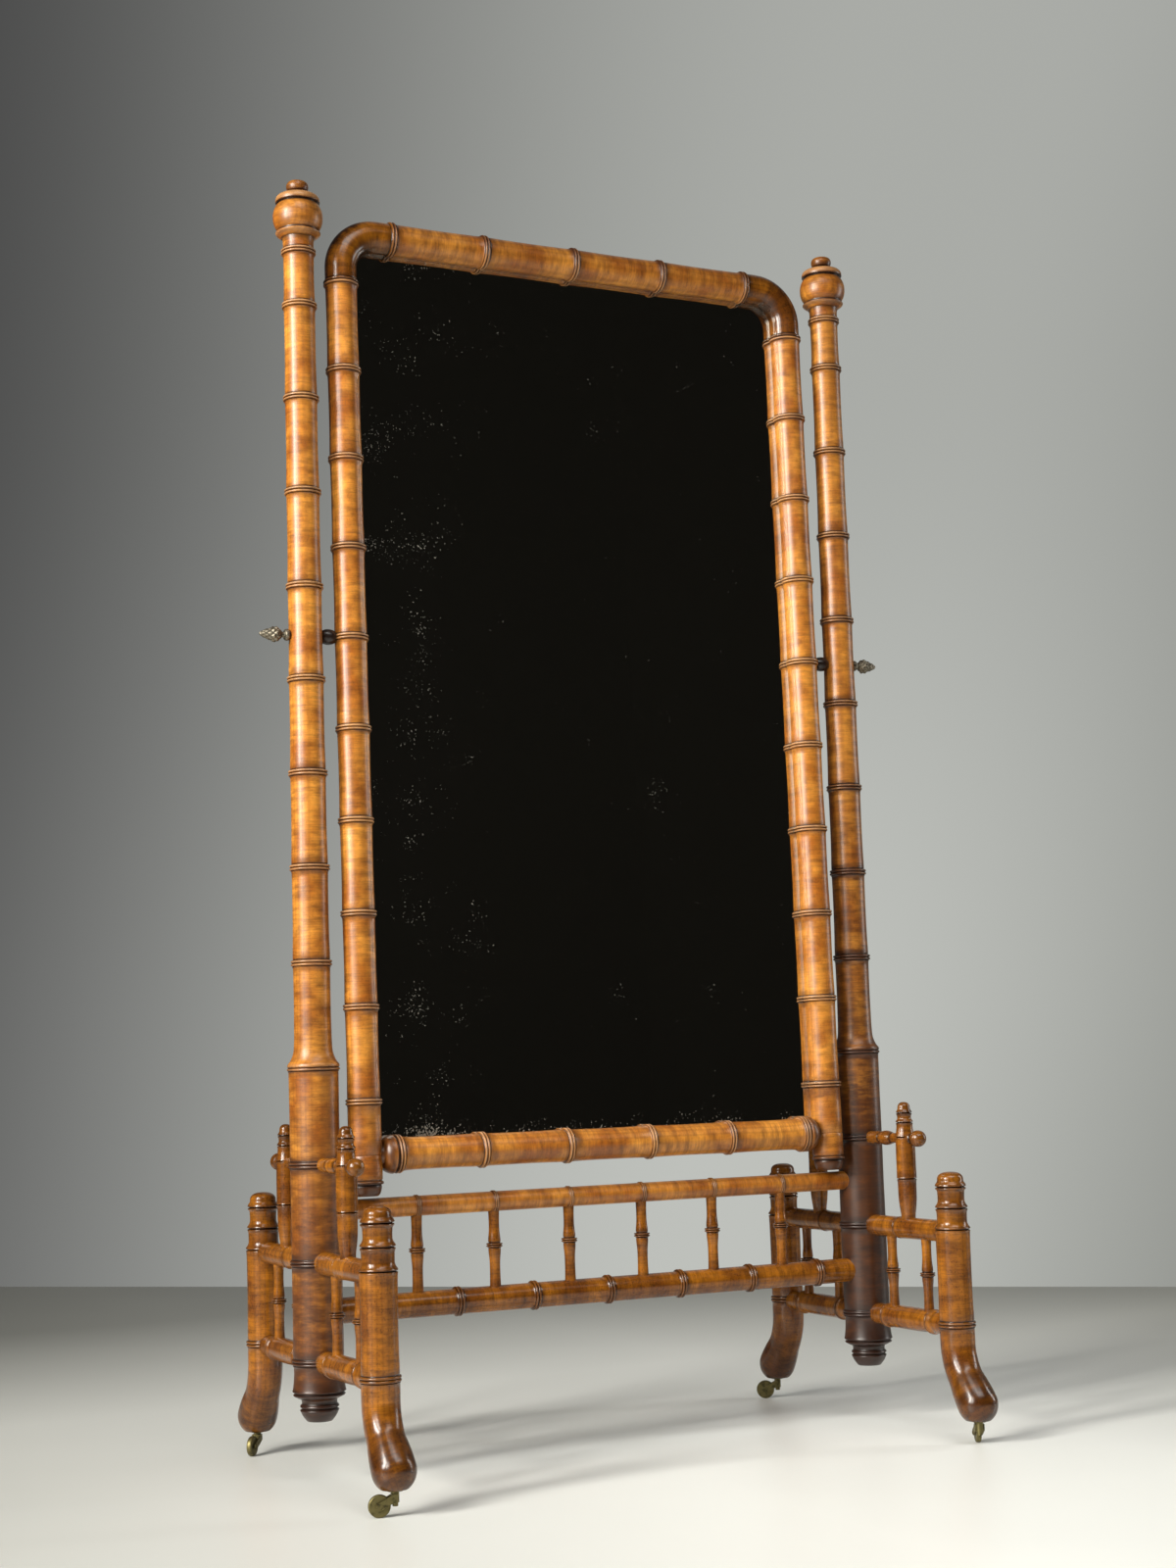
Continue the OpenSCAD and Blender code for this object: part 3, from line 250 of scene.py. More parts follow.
def lip_pair(z, r_below, r_lip, r_above, half, deep=3.2):
    """A deep cut between two lips, where the shaft steps from one width to the next."""
    return [(r_below, z - half, 0), (r_lip - 0.5, z - 0.6 * half, 0.5),
            (r_lip - 0.3, z - 0.36 * half, 0.3), (r_lip - deep, z, -1), (r_lip, z + 0.3 * half, 0.6),
            (r_lip - 0.4, z + 0.62 * half, 0.5), (r_lip - 0.45 * (r_lip - r_above), z + half, 0)]


def flare(z0, r0, z1, r1):
    """A hollow curve between two radii, steep at its first end."""
    return [(r1 + (r0 - r1) * (1 - k) ** 2, z0 + (z1 - z0) * k) for k in (0.25, 0.5, 0.75, 1)]


def eased(outline):
    """The outline as a chisel and sandpaper leave it: a smooth curve that keeps to its points."""
    points = [tuple(p) + (0.0,) * (3 - len(p)) for p in outline]
    spans = [max(math.dist(a[:2], b[:2]), 0.05) for a, b in zip(points, points[1:])]
    slopes = [[(b[i] - a[i]) / s for i in (0, 1)] for a, b, s in zip(points, points[1:], spans)]
    tangents = [slopes[0]]
    for before, after, s0, s1 in zip(slopes, slopes[1:], spans, spans[1:]):
        blend = [(before[i] * s1 + after[i] * s0) / (s0 + s1) for i in (0, 1)]
        most = [3 * min(abs(before[i]), abs(after[i])) if before[i] * after[i] > 0 else 0
                for i in (0, 1)]
        tangents.append([max(-m, min(m, b)) for m, b in zip(most, blend)])
    tangents.append(slopes[-1])
    curve = [points[0]]
    for a, b, s, out, into in zip(points, points[1:], spans, tangents, tangents[1:]):
        steps = 2 if s < 1.5 else 3
        for n in range(1, steps + 1):
            k = n / steps
            r, z = [(2 * k ** 3 - 3 * k ** 2 + 1) * a[i] + (3 * k ** 2 - 2 * k ** 3) * b[i]
                    + (k ** 3 - 2 * k ** 2 + k) * s * out[i] + (k ** 3 - k ** 2) * s * into[i]
                    for i in (0, 1)]
            curve.append((r, z, a[2] + (b[2] - a[2]) * k))
    return curve


def straight(start, along, side):
    """A straight centreline, which gives the point and both cross directions at each place."""
    start, along, side = Vector(start), Vector(along), Vector(side)
    return lambda z: (start + along * z, side, along.cross(side))


def turned(name, outline, centre, segments=64, stain_and_shade=None, trim=None, relief=None, settle=None):
    """A turned solid, with its outline swept round a centreline. Its mesh carries the place in the
    wood (grain), the tone of cuts and crests, and how far stain, age and painted shade have darkened
    it (stain_and_shade). Each cut is painted darker round it, gathered stain with painted shade.
    Relief carves the round, and trim and settle cut flats."""
    # each cut is painted darker for a few mm round it: gathered stain with painted shade
    cut_stain_and_shade, cut_reach = 0.55, 2.2
    curve = eased(outline)
    cuts = [z for r, z, tone in curve if tone < -0.9]
    # each piece comes from its own place in the log, which its name draws
    dice = random.Random(name)
    log = Vector([dice.uniform(-900, 900) for _ in range(3)])
    points, grain, tones, stain_and_shade_values = [], [], [], []

    def put(u, w, z, tone, angle):
        at, side, over = centre(z)
        if trim:
            u, w = trim(u, w, z)
        point = at + side * u + over * w
        points.append((settle(point) if settle else point) * MM)
        grain.append(Vector((u, w, z)) + log)
        tones.append(tone)
        near = min((abs(z - c) for c in cuts), default=99)
        stain_and_shade_values.append(cut_stain_and_shade * math.exp(-near / cut_reach) + (stain_and_shade(z, angle) if stain_and_shade else 0))

    put(0, 0, curve[0][1], curve[0][2], 0)
    for r, z, tone in curve:
        for n in range(segments):
            angle = 2 * math.pi * n / segments
            wide = r + (relief(r, z, angle) if relief else 0)
            put(wide * math.cos(angle), wide * math.sin(angle), z, tone, angle)
    put(0, 0, curve[-1][1], curve[-1][2], 0)

    last = len(points) - 1
    faces = []
    for n in range(segments):
        m = (n + 1) % segments
        faces.append((0, 1 + m, 1 + n))
        faces.append((last, last - segments + n, last - segments + m))
        for row in range(len(curve) - 1):
            low, high = 1 + row * segments, 1 + (row + 1) * segments
            faces.append((low + n, low + m, high + m, high + n))
    at, side, over = centre(curve[0][1])
    on = centre(curve[1][1])[0] - at
    if side.cross(over).dot(on) < 0:
        faces = [f[::-1] for f in faces]
    mesh = bpy.data.meshes.new(name)
    mesh.from_pydata(points, [], faces)
    mesh.attributes.new("grain", "FLOAT_VECTOR", "POINT").data.foreach_set(
        "vector", [c for g in grain for c in g])
    mesh.attributes.new("tone", "FLOAT", "POINT").data.foreach_set("value", tones)
    mesh.attributes.new("stain_and_shade", "FLOAT", "POINT").data.foreach_set("value", stain_and_shade_values)
    mesh.shade_smooth()
    mesh.set_sharp_from_angle(angle=math.radians(60))
    piece = bpy.data.objects.new(name, mesh)
    bpy.context.scene.collection.objects.link(piece)
    return piece


def fit(piece, node, material, body):
    """Puts a piece in the place of its CAD node, with its finish."""
    piece.data.materials.append(material)
    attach(piece, body)
    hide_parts(node)


def polished_beech(name, pale, middle, deep, burnt, crest, flecks, gloss, shine):
    """Beech, turned, stained and French polished. The eye gets an amber that shifts in soft blotches,
    a faint figure of growth rings, fine rings from the tool, small dark flecks, black cuts and pale,
    rubbed crests, all under a thin warm gloss."""
    made = bpy.data.materials.new(name)
    made.use_nodes = True
    tree = made.node_tree
    grain = add(tree, "Attribute", attribute_name="grain").outputs["Vector"]
    tone = add(tree, "Attribute", attribute_name="tone").outputs["Fac"]
    # stain and age, and painted shade: round each cut, under the finials' caps, on the elbows' sides, on
    # the top rail's upper side, and a painted shadow on the right post
    stain_and_shade = add(tree, "Attribute", attribute_name="stain_and_shade").outputs["Fac"]
    # stain taken up in clouds of 60 mm, and in bands of 10 mm that run round the piece
    cloud = add(tree, "TexNoise", {"Vector": grain, "Scale": 0.017, "Detail": 3.0,
                                   "Roughness": 0.6}).outputs[0]
    flat = add(tree, "VectorMath", {0: grain, 1: (0.3, 0.3, 1)}, operation="MULTIPLY").outputs[0]
    band = add(tree, "TexNoise", {"Vector": flat, "Scale": 0.1, "Detail": 3.0,
                                  "Roughness": 0.65}).outputs[0]
    # tool rings, drawn nearly 2 mm apart: real ones are finer, but these are the finest that show
    flatter = add(tree, "VectorMath", {0: grain, 1: (0.05, 0.05, 1)}, operation="MULTIPLY").outputs[0]
    tool = add(tree, "TexNoise", {"Vector": flatter, "Scale": 0.55, "Detail": 3.0,
                                  "Roughness": 0.75}).outputs[0]
    # growth rings 7 mm apart round a pith 60 mm off the turning axis, drawn out along the piece
    longer = add(tree, "VectorMath", {0: grain, 1: (1, 1, 0.12)}, operation="MULTIPLY").outputs[0]
    pith = add(tree, "VectorMath", {0: longer, 1: (60, 20, 0)}).outputs[0]
    figure = add(tree, "TexWave", {"Vector": pith, "Scale": 0.045, "Distortion": 5.0, "Detail": 2.0,
                                   "Detail Scale": 0.3},
                 wave_type="RINGS", rings_direction="Z").outputs["Fac"]
    # pores and flecks 2 mm wide and 3 mm long, thickest where the stain is dark
    short = add(tree, "VectorMath", {0: grain, 1: (1, 1, 0.7)}, operation="MULTIPLY").outputs[0]
    fleck = add(tree, "TexNoise", {"Vector": short, "Scale": 0.42, "Detail": 2.0,
                                   "Roughness": 0.55}).outputs[0]
    flecked = add(tree, "Math", {0: cloud, 1: 0.3, 2: fleck}, operation="MULTIPLY_ADD").outputs[0]
    uneven = add(tree, "Math", {0: band, 1: 1.2, 2: 0.4}, operation="MULTIPLY_ADD").outputs[0]
    darkened = add(tree, "Math", {0: stain_and_shade, 1: uneven}, operation="MULTIPLY", use_clamp=True).outputs[0]

    # the darkened layers carry stain with painted shade, and the last layer paints the bottoms of the
    # cuts black, dark stain with painted shade
    # each layer lies over those before it: what drives it, from where to where, how much, its colour
    colour = linear(pale)
    for value, start, end, most, tint in (
            (cloud, 0.36, 0.64, 1.0, middle), (band, 0.42, 0.7, 0.6, deep),
            (figure, 0.5, 1.0, 0.22, deep), (tone, 0.15, 0.9, 0.6, crest),
            (darkened, 0.0, 0.6, 1.0, deep), (tool, 0.42, 0.72, 0.4, burnt),
            (flecked, 0.71, 0.84, flecks, burnt), (darkened, 0.4, 1.0, 1.0, burnt),
            (tone, -0.1, -0.9, 0.92, "#1A0D06")):
        amount = add(tree, "MapRange", {"Value": value, "From Min": start, "From Max": end,
                                        "To Max": most}).outputs[0]
        colour = add(tree, "Mix", {0: amount, 6: colour, 7: linear(tint)}, data_type="RGBA").outputs[2]
    rough = add(tree, "MapRange", {"Value": tool, "To Min": gloss - 0.06, "To Max": gloss + 0.1})
    ripple = add(tree, "Bump", {"Height": tool, "Strength": 0.3, "Distance": 0.0004})

    varnish = tree.nodes["Principled BSDF"]
    tree.links.new(colour, varnish.inputs["Base Color"])
    tree.links.new(rough.outputs[0], varnish.inputs["Roughness"])
    tree.links.new(ripple.outputs[0], varnish.inputs["Normal"])
    varnish.inputs["IOR"].default_value = 1.45
    varnish.inputs["Specular IOR Level"].default_value = shine
    varnish.inputs["Coat Weight"].default_value = 0.2
    varnish.inputs["Coat Roughness"].default_value = 0.9 * gloss - 0.08
    return made


# The posts and the mirror's frame are the paler wood, polished to a soft gloss.
honey_beech = polished_beech("honey_beech", pale="#E09538", middle="#A85E15", deep="#5C310B",
                             burnt="#2A1307", crest="#E8BC8C", flecks=0.25, gloss=0.37, shine=0.55)
post_x = (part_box("right_post")[0].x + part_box("right_post")[1].x) / 2 / MM
pivot_face = shaft_r(pivot_z) - 0.7
pendant_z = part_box("left_post")[0].z / MM
z = pendant_z
post_outline = [
    (17.5, z), (24, z + 8.5), (26, z + 13, 0.4), (27, z + 15, 0.2), (24.4, z + 17.5, -1),
    (27, z + 20, 0.5), (26.4, z + 22, 0.1), (24.4, z + 24, -0.9), (25, z + 29, -0.3), (31, z + 32.5),
    (36.3, z + 36, 0.5), (34, z + 38.5, -1), (37.2, z + 41, 0.6), (36.7, z + 43, 0)]
post_outline += flare(z + 43, 36.7, lower_rail_z - 13, 34.5)
base_ring_z = [lower_rail_z, upper_rail_z, arm_z, shaft_bottom_z]
for ring_z, next_z in zip(base_ring_z, base_ring_z[1:]):
    post_outline += ring_pair(ring_z, post_r - 0.4, 2.4) + bay(ring_z, post_r, next_z, post_r)
post_outline += ring_low(shaft_bottom_z, post_r - 0.4, 2.2)
post_outline += [(36.7, shaft_bottom_z + 1.5, 0.7), (36.8, shaft_bottom_z + 3, 0.4)]
post_outline += flare(shaft_bottom_z + 3, 36.8, shaft_bottom_z + 30, shaft_r(shaft_bottom_z))
below = shaft_bottom_z + 30
for ring_z in post_ring_z:
    post_outline += bay(below, shaft_r(below), ring_z, shaft_r(ring_z))
    post_outline += ring_pair(ring_z, shaft_r(ring_z), post_ring_lift)
    below = ring_z
top_r = shaft_r(shaft_top_z)
post_outline += [(top_r - 0.2, shaft_top_z + 12), (top_r + 0.8, shoulder_z, -0.8)]


def post_stain_and_shadow(z, extra_dark):
    """The hanging foot is nearly black-brown and the base is darker towards the floor. A post given
    extra_dark is painted darker all along, most below about 1 m: a painted shadow of the mirror frame."""
    low = 0.38 / (1 + math.exp((z - 430) / 60)) + 0.12 / (1 + math.exp((z - 750) / 90))
    extra = extra_dark * (0.3 + 0.7 / (1 + math.exp((z - 1000) / 90)))
    return 0.5 * math.exp(-max(z - pendant_z - 20, 0) / 30) + low + extra


def spot_faces(u, w, z):
    """Flats on both sides of the pivot, where the spacer and the thumb-screw bear."""
    if w * w + (z - pivot_z) ** 2 < spotface_r ** 2:
        u = max(min(u, pivot_face), -pivot_face)
    return u, w


# the right post's extra darkening is a painted shadow of the mirror frame
for side_name, side, extra_dark in (("left", -1, 0), ("right", 1, 0.34)):
    post = turned(side_name + "_post_wood", post_outline,
                  straight((side * post_x, 0, 0), (0, 0, 1), (side, 0, 0)), segments=72,
                  stain_and_shade=lambda z, angle, extra_dark=extra_dark: post_stain_and_shadow(z, extra_dark), trim=spot_faces)
    fit(post, side_name + "_post", honey_beech, "stand")


# Finials. Turned apart from the posts and glued on by a spigot: a collar, a ball, a pale cap of
# end grain and a glossy dark button.
z = shoulder_z
finial_outline = [
    (14, z + 0.1), (23.5, z, -0.5), (28.5, z + 3.5, 0.3), (32.5, z + 6.5, 0.5), (32.9, z + 8, 0.3),
    (29.5, z + 10, -1), (29.5, z + 11.5, -0.6)]
finial_outline += [(21.5 + 15 * math.cos(math.radians(a)), z + 31.5 + 23.5 * math.sin(math.radians(a)))
                   for a in (-55, -40, -25, -10, 5, 20, 35, 50)]
finial_outline += [(28.8, z + 52, -0.8), (29.9, z + 53, -1), (32.3, z + 54, 0.4), (32.5, z + 56, 0.6)]
finial_outline += [(24.5 + 8 * math.cos(math.radians(a)), z + 57 + 8.2 * math.sin(math.radians(a)), 0.6)
                   for a in (20, 40, 60, 80)]
finial_outline += [(9.1, z + 66.5, -0.6), (8.1, z + 70.5, -1), (13.75, z + 71.5, -0.3)]
finial_outline += [(11.25 + 5 * math.cos(math.radians(a)), z + 78.5 + 7.5 * math.sin(math.radians(a)))
                   for a in (-20, 5, 30, 55, 75)]
finial_outline += [(5.4, z + 87)]


def finial_stain_and_shade(z, angle):
    """The button is dark, and the groove under the cap is painted darker, gathered stain with painted
    shade.
    """
    return 0.4 if z > shoulder_z + 70 else 0.12 + 0.2 * math.exp(-abs(z - shoulder_z - 52) / 6)


for side_name, side in (("left", -1), ("right", 1)):
    finial = turned(side_name + "_finial_wood", finial_outline,
                    straight((side * post_x, 0, 0), (0, 0, 1), (side, 0, 0)),
                    segments=72, stain_and_shade=finial_stain_and_shade)
    fit(finial, side_name + "_finial", honey_beech, "stand")


# Legs. Thick pieces with a stepped dome on top; the foot is steamed, bent outwards and rounded
# off at the toe. Their beech is stained darker, and the toes have gone nearly black.
brown_beech = polished_beech("brown_beech", pale="#A86718", middle="#733F0E", deep="#3C1F08",
                             burnt="#241208", crest="#8A5C34", flecks=0.5, gloss=0.22, shine=0.45)
leg_y = 242.0
leg_r = 25.5
bend_z, bend_r, bend_angle = 141.09, 84.0, math.radians(37)
toe_len, toe_r = 42.0, 29.4
foot_z = 34.0
leg_top_z = 387.995
ring_1_z, ring_2_z, ring_3_z = upper_rail_z + 4, upper_rail_z + 35, upper_rail_z + 66
bend_len = bend_r * bend_angle

# below the bend's start, a place is the length along the bend and the toe
bend_end = bend_z - bend_len
ankle_r = 25.6
leg_outline = [(toe_r * math.cos(math.radians(a)),
                bend_end - toe_len - toe_r * math.sin(math.radians(a)))
               for a in (86, 80, 70, 60, 50, 40, 30, 20, 10)]
leg_outline += [(ankle_r + (toe_r - ankle_r) * math.sin(math.pi / 2 * k), bend_end - k * toe_len)
                for k in (1, 0.75, 0.5, 0.25, 0)]
leg_outline += [(leg_r - 0.1, bend_z - bend_len * k) for k in (0.85, 0.7, 0.55, 0.4, 0.25, 0.1)]
leg_outline += [(leg_r, bend_z)]
leg_outline += ring_pair(lower_rail_z + 2, leg_r, 2.2)
leg_outline += bay(lower_rail_z + 2, leg_r, ring_1_z, leg_r)
leg_outline += lip_pair(ring_1_z, leg_r, leg_r + 0.8, leg_r - 3.5, 5)
leg_outline += flare(ring_1_z + 5, leg_r - 1, ring_1_z + 12, leg_r - 3.5)
leg_outline += [(leg_r - 3.4, ring_2_z - 10)]
leg_outline += lip_pair(ring_2_z, leg_r - 3, leg_r - 1.6, leg_r - 5.7, 5)
leg_outline += flare(ring_2_z + 5, leg_r - 3.4, ring_2_z + 12, leg_r - 5.9)
leg_outline += [(leg_r - 5.7, ring_3_z - 10)]
leg_outline += lip_pair(ring_3_z, leg_r - 5, leg_r - 2.6, leg_r - 5.5, 5)
dome_r, dome_h = leg_r - 6, 14
leg_outline += [(dome_r * math.cos(math.radians(a)) ** 0.8,
                 leg_top_z - dome_h * (1 - math.sin(math.radians(a)) ** 0.7))
                for a in (0, 15, 35, 55, 72, 86)]


def bent_leg(side, way):
    """Centreline of a leg, by its height in the shank and by its length along the bend and the toe."""
    base = Vector((side * post_x, way * leg_y, 0))
    across = Vector((1, 0, 0))

    def centre(z):
        run = bend_z - z
        if run <= 0:
            return base + Vector((0, 0, z)), Vector((0, way, 0)), across
        turn = min(run / bend_r, bend_angle)
        past = max(run - bend_len, 0)
        down = Vector((0, way * math.sin(turn), -math.cos(turn)))
        bent = Vector((0, way * bend_r * (1 - math.cos(turn)), bend_z - bend_r * math.sin(turn)))
        return base + bent + down * past, Vector((0, way * math.cos(turn), math.sin(turn))), across

    return centre


def leg_burn(z, angle):
    """The toe is darkest, and the stepped dome is a little darker than the shank."""
    toe = min(max((bend_z - 18 - z) / 60, 0), 1)
    dome = 0.14 if z > ring_1_z else 0
    return 0.45 * toe + dome


def flat_foot(point):
    """The toe is sawn off flat where the caster's plate sits."""
    return Vector((point.x, point.y, max(point.z, foot_z)))


corners = [(end + "_" + side_name, side, way)
           for side_name, side in (("left", -1), ("right", 1))
           for end, way in (("front", -1), ("rear", 1))]
for corner, side, way in corners:
    leg = turned(corner + "_leg_wood", leg_outline, bent_leg(side, way),
                 stain_and_shade=leg_burn, settle=flat_foot)
    fit(leg, corner + "_leg", brown_beech, "stand")


# Side rails. An upper and a lower rail of brown beech, turned, run from each post to each leg on
# round tenons; short ringed spindles are glued between them.
upper_rail = [(15, 29), (16, 30.3, 0.3), (16, 36)] + lip_pair(108, 16, 17, 16, 4)
upper_rail += [(16, 160), (16, 224, 0), (15, 226.4)]
lower_rail = [(15, 29), (16, 30.5), (16, 45)] + lip_pair(66, 16, 18.6, 16, 5)
lower_rail += bay(66, 16.5, 185, 16.5, -0.8) + lip_pair(185, 16, 18.6, 16, 5)
lower_rail += [(16, 194), (16, 222), (15, 224.5)]


def spindle_outline(bottom, top, ring, r):
    """A slim spindle with one pair of rings, from one rail to the next."""
    return ([(r, bottom)] + bay(bottom, r, ring - 9, r) + [(r + 0.8, ring - 6)]
            + ring_pair(ring, r + 0.6, 3.2, 4.5)
            + [(r + 0.8, ring + 6)] + bay(ring + 9, r, top, r) + [(r, top)])


def rail_burn(z, angle):
    """The stain has gathered where a rail enters its post and its leg."""
    return 0.35 * math.exp(-max(z - 30, 0) / 9) + 0.35 * math.exp(-max(224 - z, 0) / 9)


spindle_r = 7.75
spindle_y = (79, 172)
spindle_ring_z = lower_rail_z + 68.85
short_spindle = spindle_outline(lower_rail_z + 13, upper_rail_z - 13, spindle_ring_z, spindle_r)
for corner, side, way in corners:
    for level, z, outline in (("upper", upper_rail_z, upper_rail), ("lower", lower_rail_z, lower_rail)):
        rail = turned(f"{corner}_{level}_rail_wood", outline,
                      straight((side * post_x, 0, z), (0, way, 0), (0, 0, 1)),
                      segments=48, stain_and_shade=rail_burn)
        fit(rail, f"{corner}_{level}_rail", brown_beech, "stand")
    trestle = "left" if side < 0 else "right"
    for n, y in enumerate(spindle_y):
        spindle = turned(f"{corner}_spindle_{n + 1}", short_spindle,
                         straight((side * post_x, way * y, 0), (0, 0, 1), (1, 0, 0)), segments=40)
        fit(spindle, trestle + "_side_spindles", brown_beech, "stand")


# Spurs. A taller spindle with a stepped dome stands on each upper rail; an arm from the post goes
# into it on one side, and a ball on a short stub comes out on the other. All are turned in brown
# beech and glued on round tenons.
spur_y = 128.0
spur_r = 14.5
spur_base, spur_mid, spur_top = upper_rail_z + 10.5, arm_z - 60.75, arm_z + 55
spur_outline = [(10.8, spur_base - 1), (10.8, spur_base + 7), (12.4, spur_base + 20),
                (13.8, spur_base + 36)]
spur_outline += lip_pair(spur_mid, spur_r - 0.4, spur_r + 0.8, spur_r, 4)
spur_outline += bay(spur_mid + 4, spur_r, arm_z - 4, spur_r, -0.3)
spur_outline += lip_pair(arm_z + 2, spur_r, spur_r + 0.6, spur_r - 1.5, 4)
spur_outline += [(spur_r - 1.6, arm_z + 12), (spur_r - 2.3, spur_top - 36)]
spur_outline += lip_pair(spur_top - 31, spur_r - 2.2, spur_r - 1.3, spur_r - 4, 3.5)
spur_outline += [(spur_r - 4, spur_top - 25), (spur_r - 3.6, spur_top - 20)]
spur_outline += lip_pair(spur_top - 16.5, spur_r - 3.2, spur_r - 2.3, spur_r - 4.6, 3)
spur_outline += [(9.7, spur_top - 11), (9.1, spur_top - 6), (7.1, spur_top - 2.4),
                 (4, spur_top - 0.5), (1, spur_top)]
arm_r, stub_r = 9.8, 7.8
arm_outline = [(9.5, 31), (arm_r, 33), (arm_r + 0.1, 56), (arm_r - 0.6, 61, 0.3),
               (arm_r - 1.2, 62.5, -1)]
arm_outline += [(arm_r - 1.2 + 2.6 * math.sin(math.pi * k), 62.5 + 30 * k)
                for k in (0.1, 0.3, 0.5, 0.7, 0.9)]
arm_outline += [(stub_r, 95, -0.9), (stub_r, 100), (stub_r, 119)]
ball_r, ball_y = 12.5, 163
ball_outline = [(stub_r, 137), (stub_r, 143.5), (stub_r + 0.6, 145), (stub_r - 0.8, 147.5, -0.6),
                (stub_r - 1, 149, -1)]
ball_outline += [(ball_r * math.cos(math.radians(a)), ball_y + ball_r * math.sin(math.radians(a)))
                 for a in range(-45, 76, 15)] + [(1.2, ball_y + ball_r)]


def spur_burn(z, angle):
    """The stain is darkest at the spur's top, and has gathered at its foot."""
    return 0.4 * math.exp(-max(spur_top - z, 0) / 22) + 0.15 * math.exp(-max(z - spur_base, 0) / 14)


for corner, side, way in corners:
    upright = straight((side * post_x, way * spur_y, 0), (0, 0, 1), (1, 0, 0))
    outward = straight((side * post_x, 0, arm_z), (0, way, 0), (0, 0, 1))
    spur = turned(corner + "_spur_wood", spur_outline, upright, segments=48, stain_and_shade=spur_burn)
    fit(spur, corner + "_spur", brown_beech, "stand")
    arm = turned(corner + "_spur_arm_wood", arm_outline, outward, segments=40)
    fit(arm, corner + "_spur_arm", brown_beech, "stand")
    ball = turned(corner + "_spur_ball_wood", ball_outline, outward, segments=48,
                  stain_and_shade=lambda z, angle: 0.3)
    fit(ball, corner + "_spur_ball", brown_beech, "stand")


# Stretchers. Two long turned rails with cut rings hold the trestles apart on round tenons, the
# upper of honey and the lower of brown beech, and six ringed spindles are glued between them.
upper_stretcher_z, lower_stretcher_z = 369.495, 230.995
pitch_x = 119.99
upper_r, lower_r = 14.25, 18.25
stretcher_rings = {"upper": [(n - 2.5) * pitch_x for n in range(6)],
                   "lower": [(n - 3) * pitch_x for n in range(7)]}
half_length = {"upper": post_x - 31.2, "lower": post_x - 29.2}
for level, z, r, lift, half, wood, slot in (
        ("upper", upper_stretcher_z, upper_r, 1.5, 4, honey_beech, "honey_wood"),
        ("lower", lower_stretcher_z, lower_r, 3, ring_half, brown_beech, "brown_wood")):
    outline = [(r, -half_length[level]), (r, -half_length[level] + 12)]
    for x in stretcher_rings[level]:
        outline += [(r, x - 40), (r, x - 2 * half)] + ring_pair(x, r, lift, half) + [(r, x + 2 * half)]
    outline += [(r, half_length[level] - 12), (r, half_length[level])]
    stretcher = turned(level + "_stretcher_wood", outline,
                       straight((0, 0, z), (1, 0, 0), (0, 0, 1)), segments=56)
    fit(stretcher, level + "_stretcher", wood, "stand")
baluster_r, baluster_ring_z = 8.25, lower_stretcher_z + 76
baluster = spindle_outline(lower_stretcher_z + 14, upper_stretcher_z - 10, baluster_ring_z, baluster_r)
for n, x in enumerate(stretcher_rings["upper"]):
    spindle = turned(f"stretcher_spindle_{n + 1}", baluster,
                     straight((x, 0, 0), (0, 0, 1), (1, 0, 0)), segments=40)
    fit(spindle, "stretcher_spindles", brown_beech, "stand")


# Casters. Under each toe sits a small cast brass plate with a pin. A forked brass horn swivels on
# the pin and carries a brass wheel on a riveted axle.


def aged_brass(name, bright, dull, dark, rough):
    """Brass, long unpolished. The eye gets a dull metal in brighter and duller patches, brown-black
    where the tarnish is thickest, with a fine grit."""
    made = bpy.data.materials.new(name)
    made.use_nodes = True
    tree = made.node_tree
    place = add(tree, "TexCoord").outputs["Object"]
    # tarnish in patches of about 8 mm, and grit of about 1 mm
    patch = add(tree, "TexNoise", {"Vector": place, "Scale": 120.0, "Detail": 4.0,
                                   "Roughness": 0.6}).outputs["Fac"]
    grit = add(tree, "TexNoise", {"Vector": place, "Scale": 900.0, "Detail": 2.0}).outputs["Fac"]
    colour = add(tree, "Mix", {0: patch, 6: linear(bright), 7: linear(dull)},
                 data_type="RGBA").outputs[2]
    dirt = add(tree, "MapRange", {"Value": patch, "From Min": 0.52, "From Max": 0.72}).outputs[0]
    colour = add(tree, "Mix", {0: dirt, 6: colour, 7: linear(dark)}, data_type="RGBA").outputs[2]
    skin = add(tree, "Bump", {"Height": grit, "Strength": 0.4, "Distance": 0.0003})
    matt = add(tree, "MapRange", {"Value": patch, "To Min": rough - 0.1, "To Max": rough + 0.15})
    metal = tree.nodes["Principled BSDF"]
    metal.inputs["Metallic"].default_value = 0.85
    tree.links.new(colour, metal.inputs["Base Color"])
    tree.links.new(matt.outputs[0], metal.inputs["Roughness"])
    tree.links.new(skin.outputs[0], metal.inputs["Normal"])
    return made


def keep(node, material, edge=0.0):
    """Keeps a CAD node, with its finish and its edges broken by so many mm."""
    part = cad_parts[node]
    sharp = math.radians(35)
    part.data.materials.clear()
    part.data.materials.append(material)
    if edge:
        bevel = part.modifiers.new("broken_edges", "BEVEL")
        bevel.width = edge * MM
        bevel.segments = 2
        bevel.limit_method = "ANGLE"
        bevel.angle_limit = sharp
    part.data.set_sharp_from_angle(angle=sharp)


# The casters' brass was cast in sand and is the dirtiest: dark olive, with hardly any yellow left.
caster_brass = aged_brass("caster_brass", bright="#84794F", dull="#5E5838", dark="#2E2A1C",
                          rough=0.45)
keep("caster_plates", caster_brass, 0.3)
for corner, side, way in corners:
    for part in ("horn", "axle", "wheel"):
        keep(f"{corner}_caster_{part}", caster_brass, 0.4)


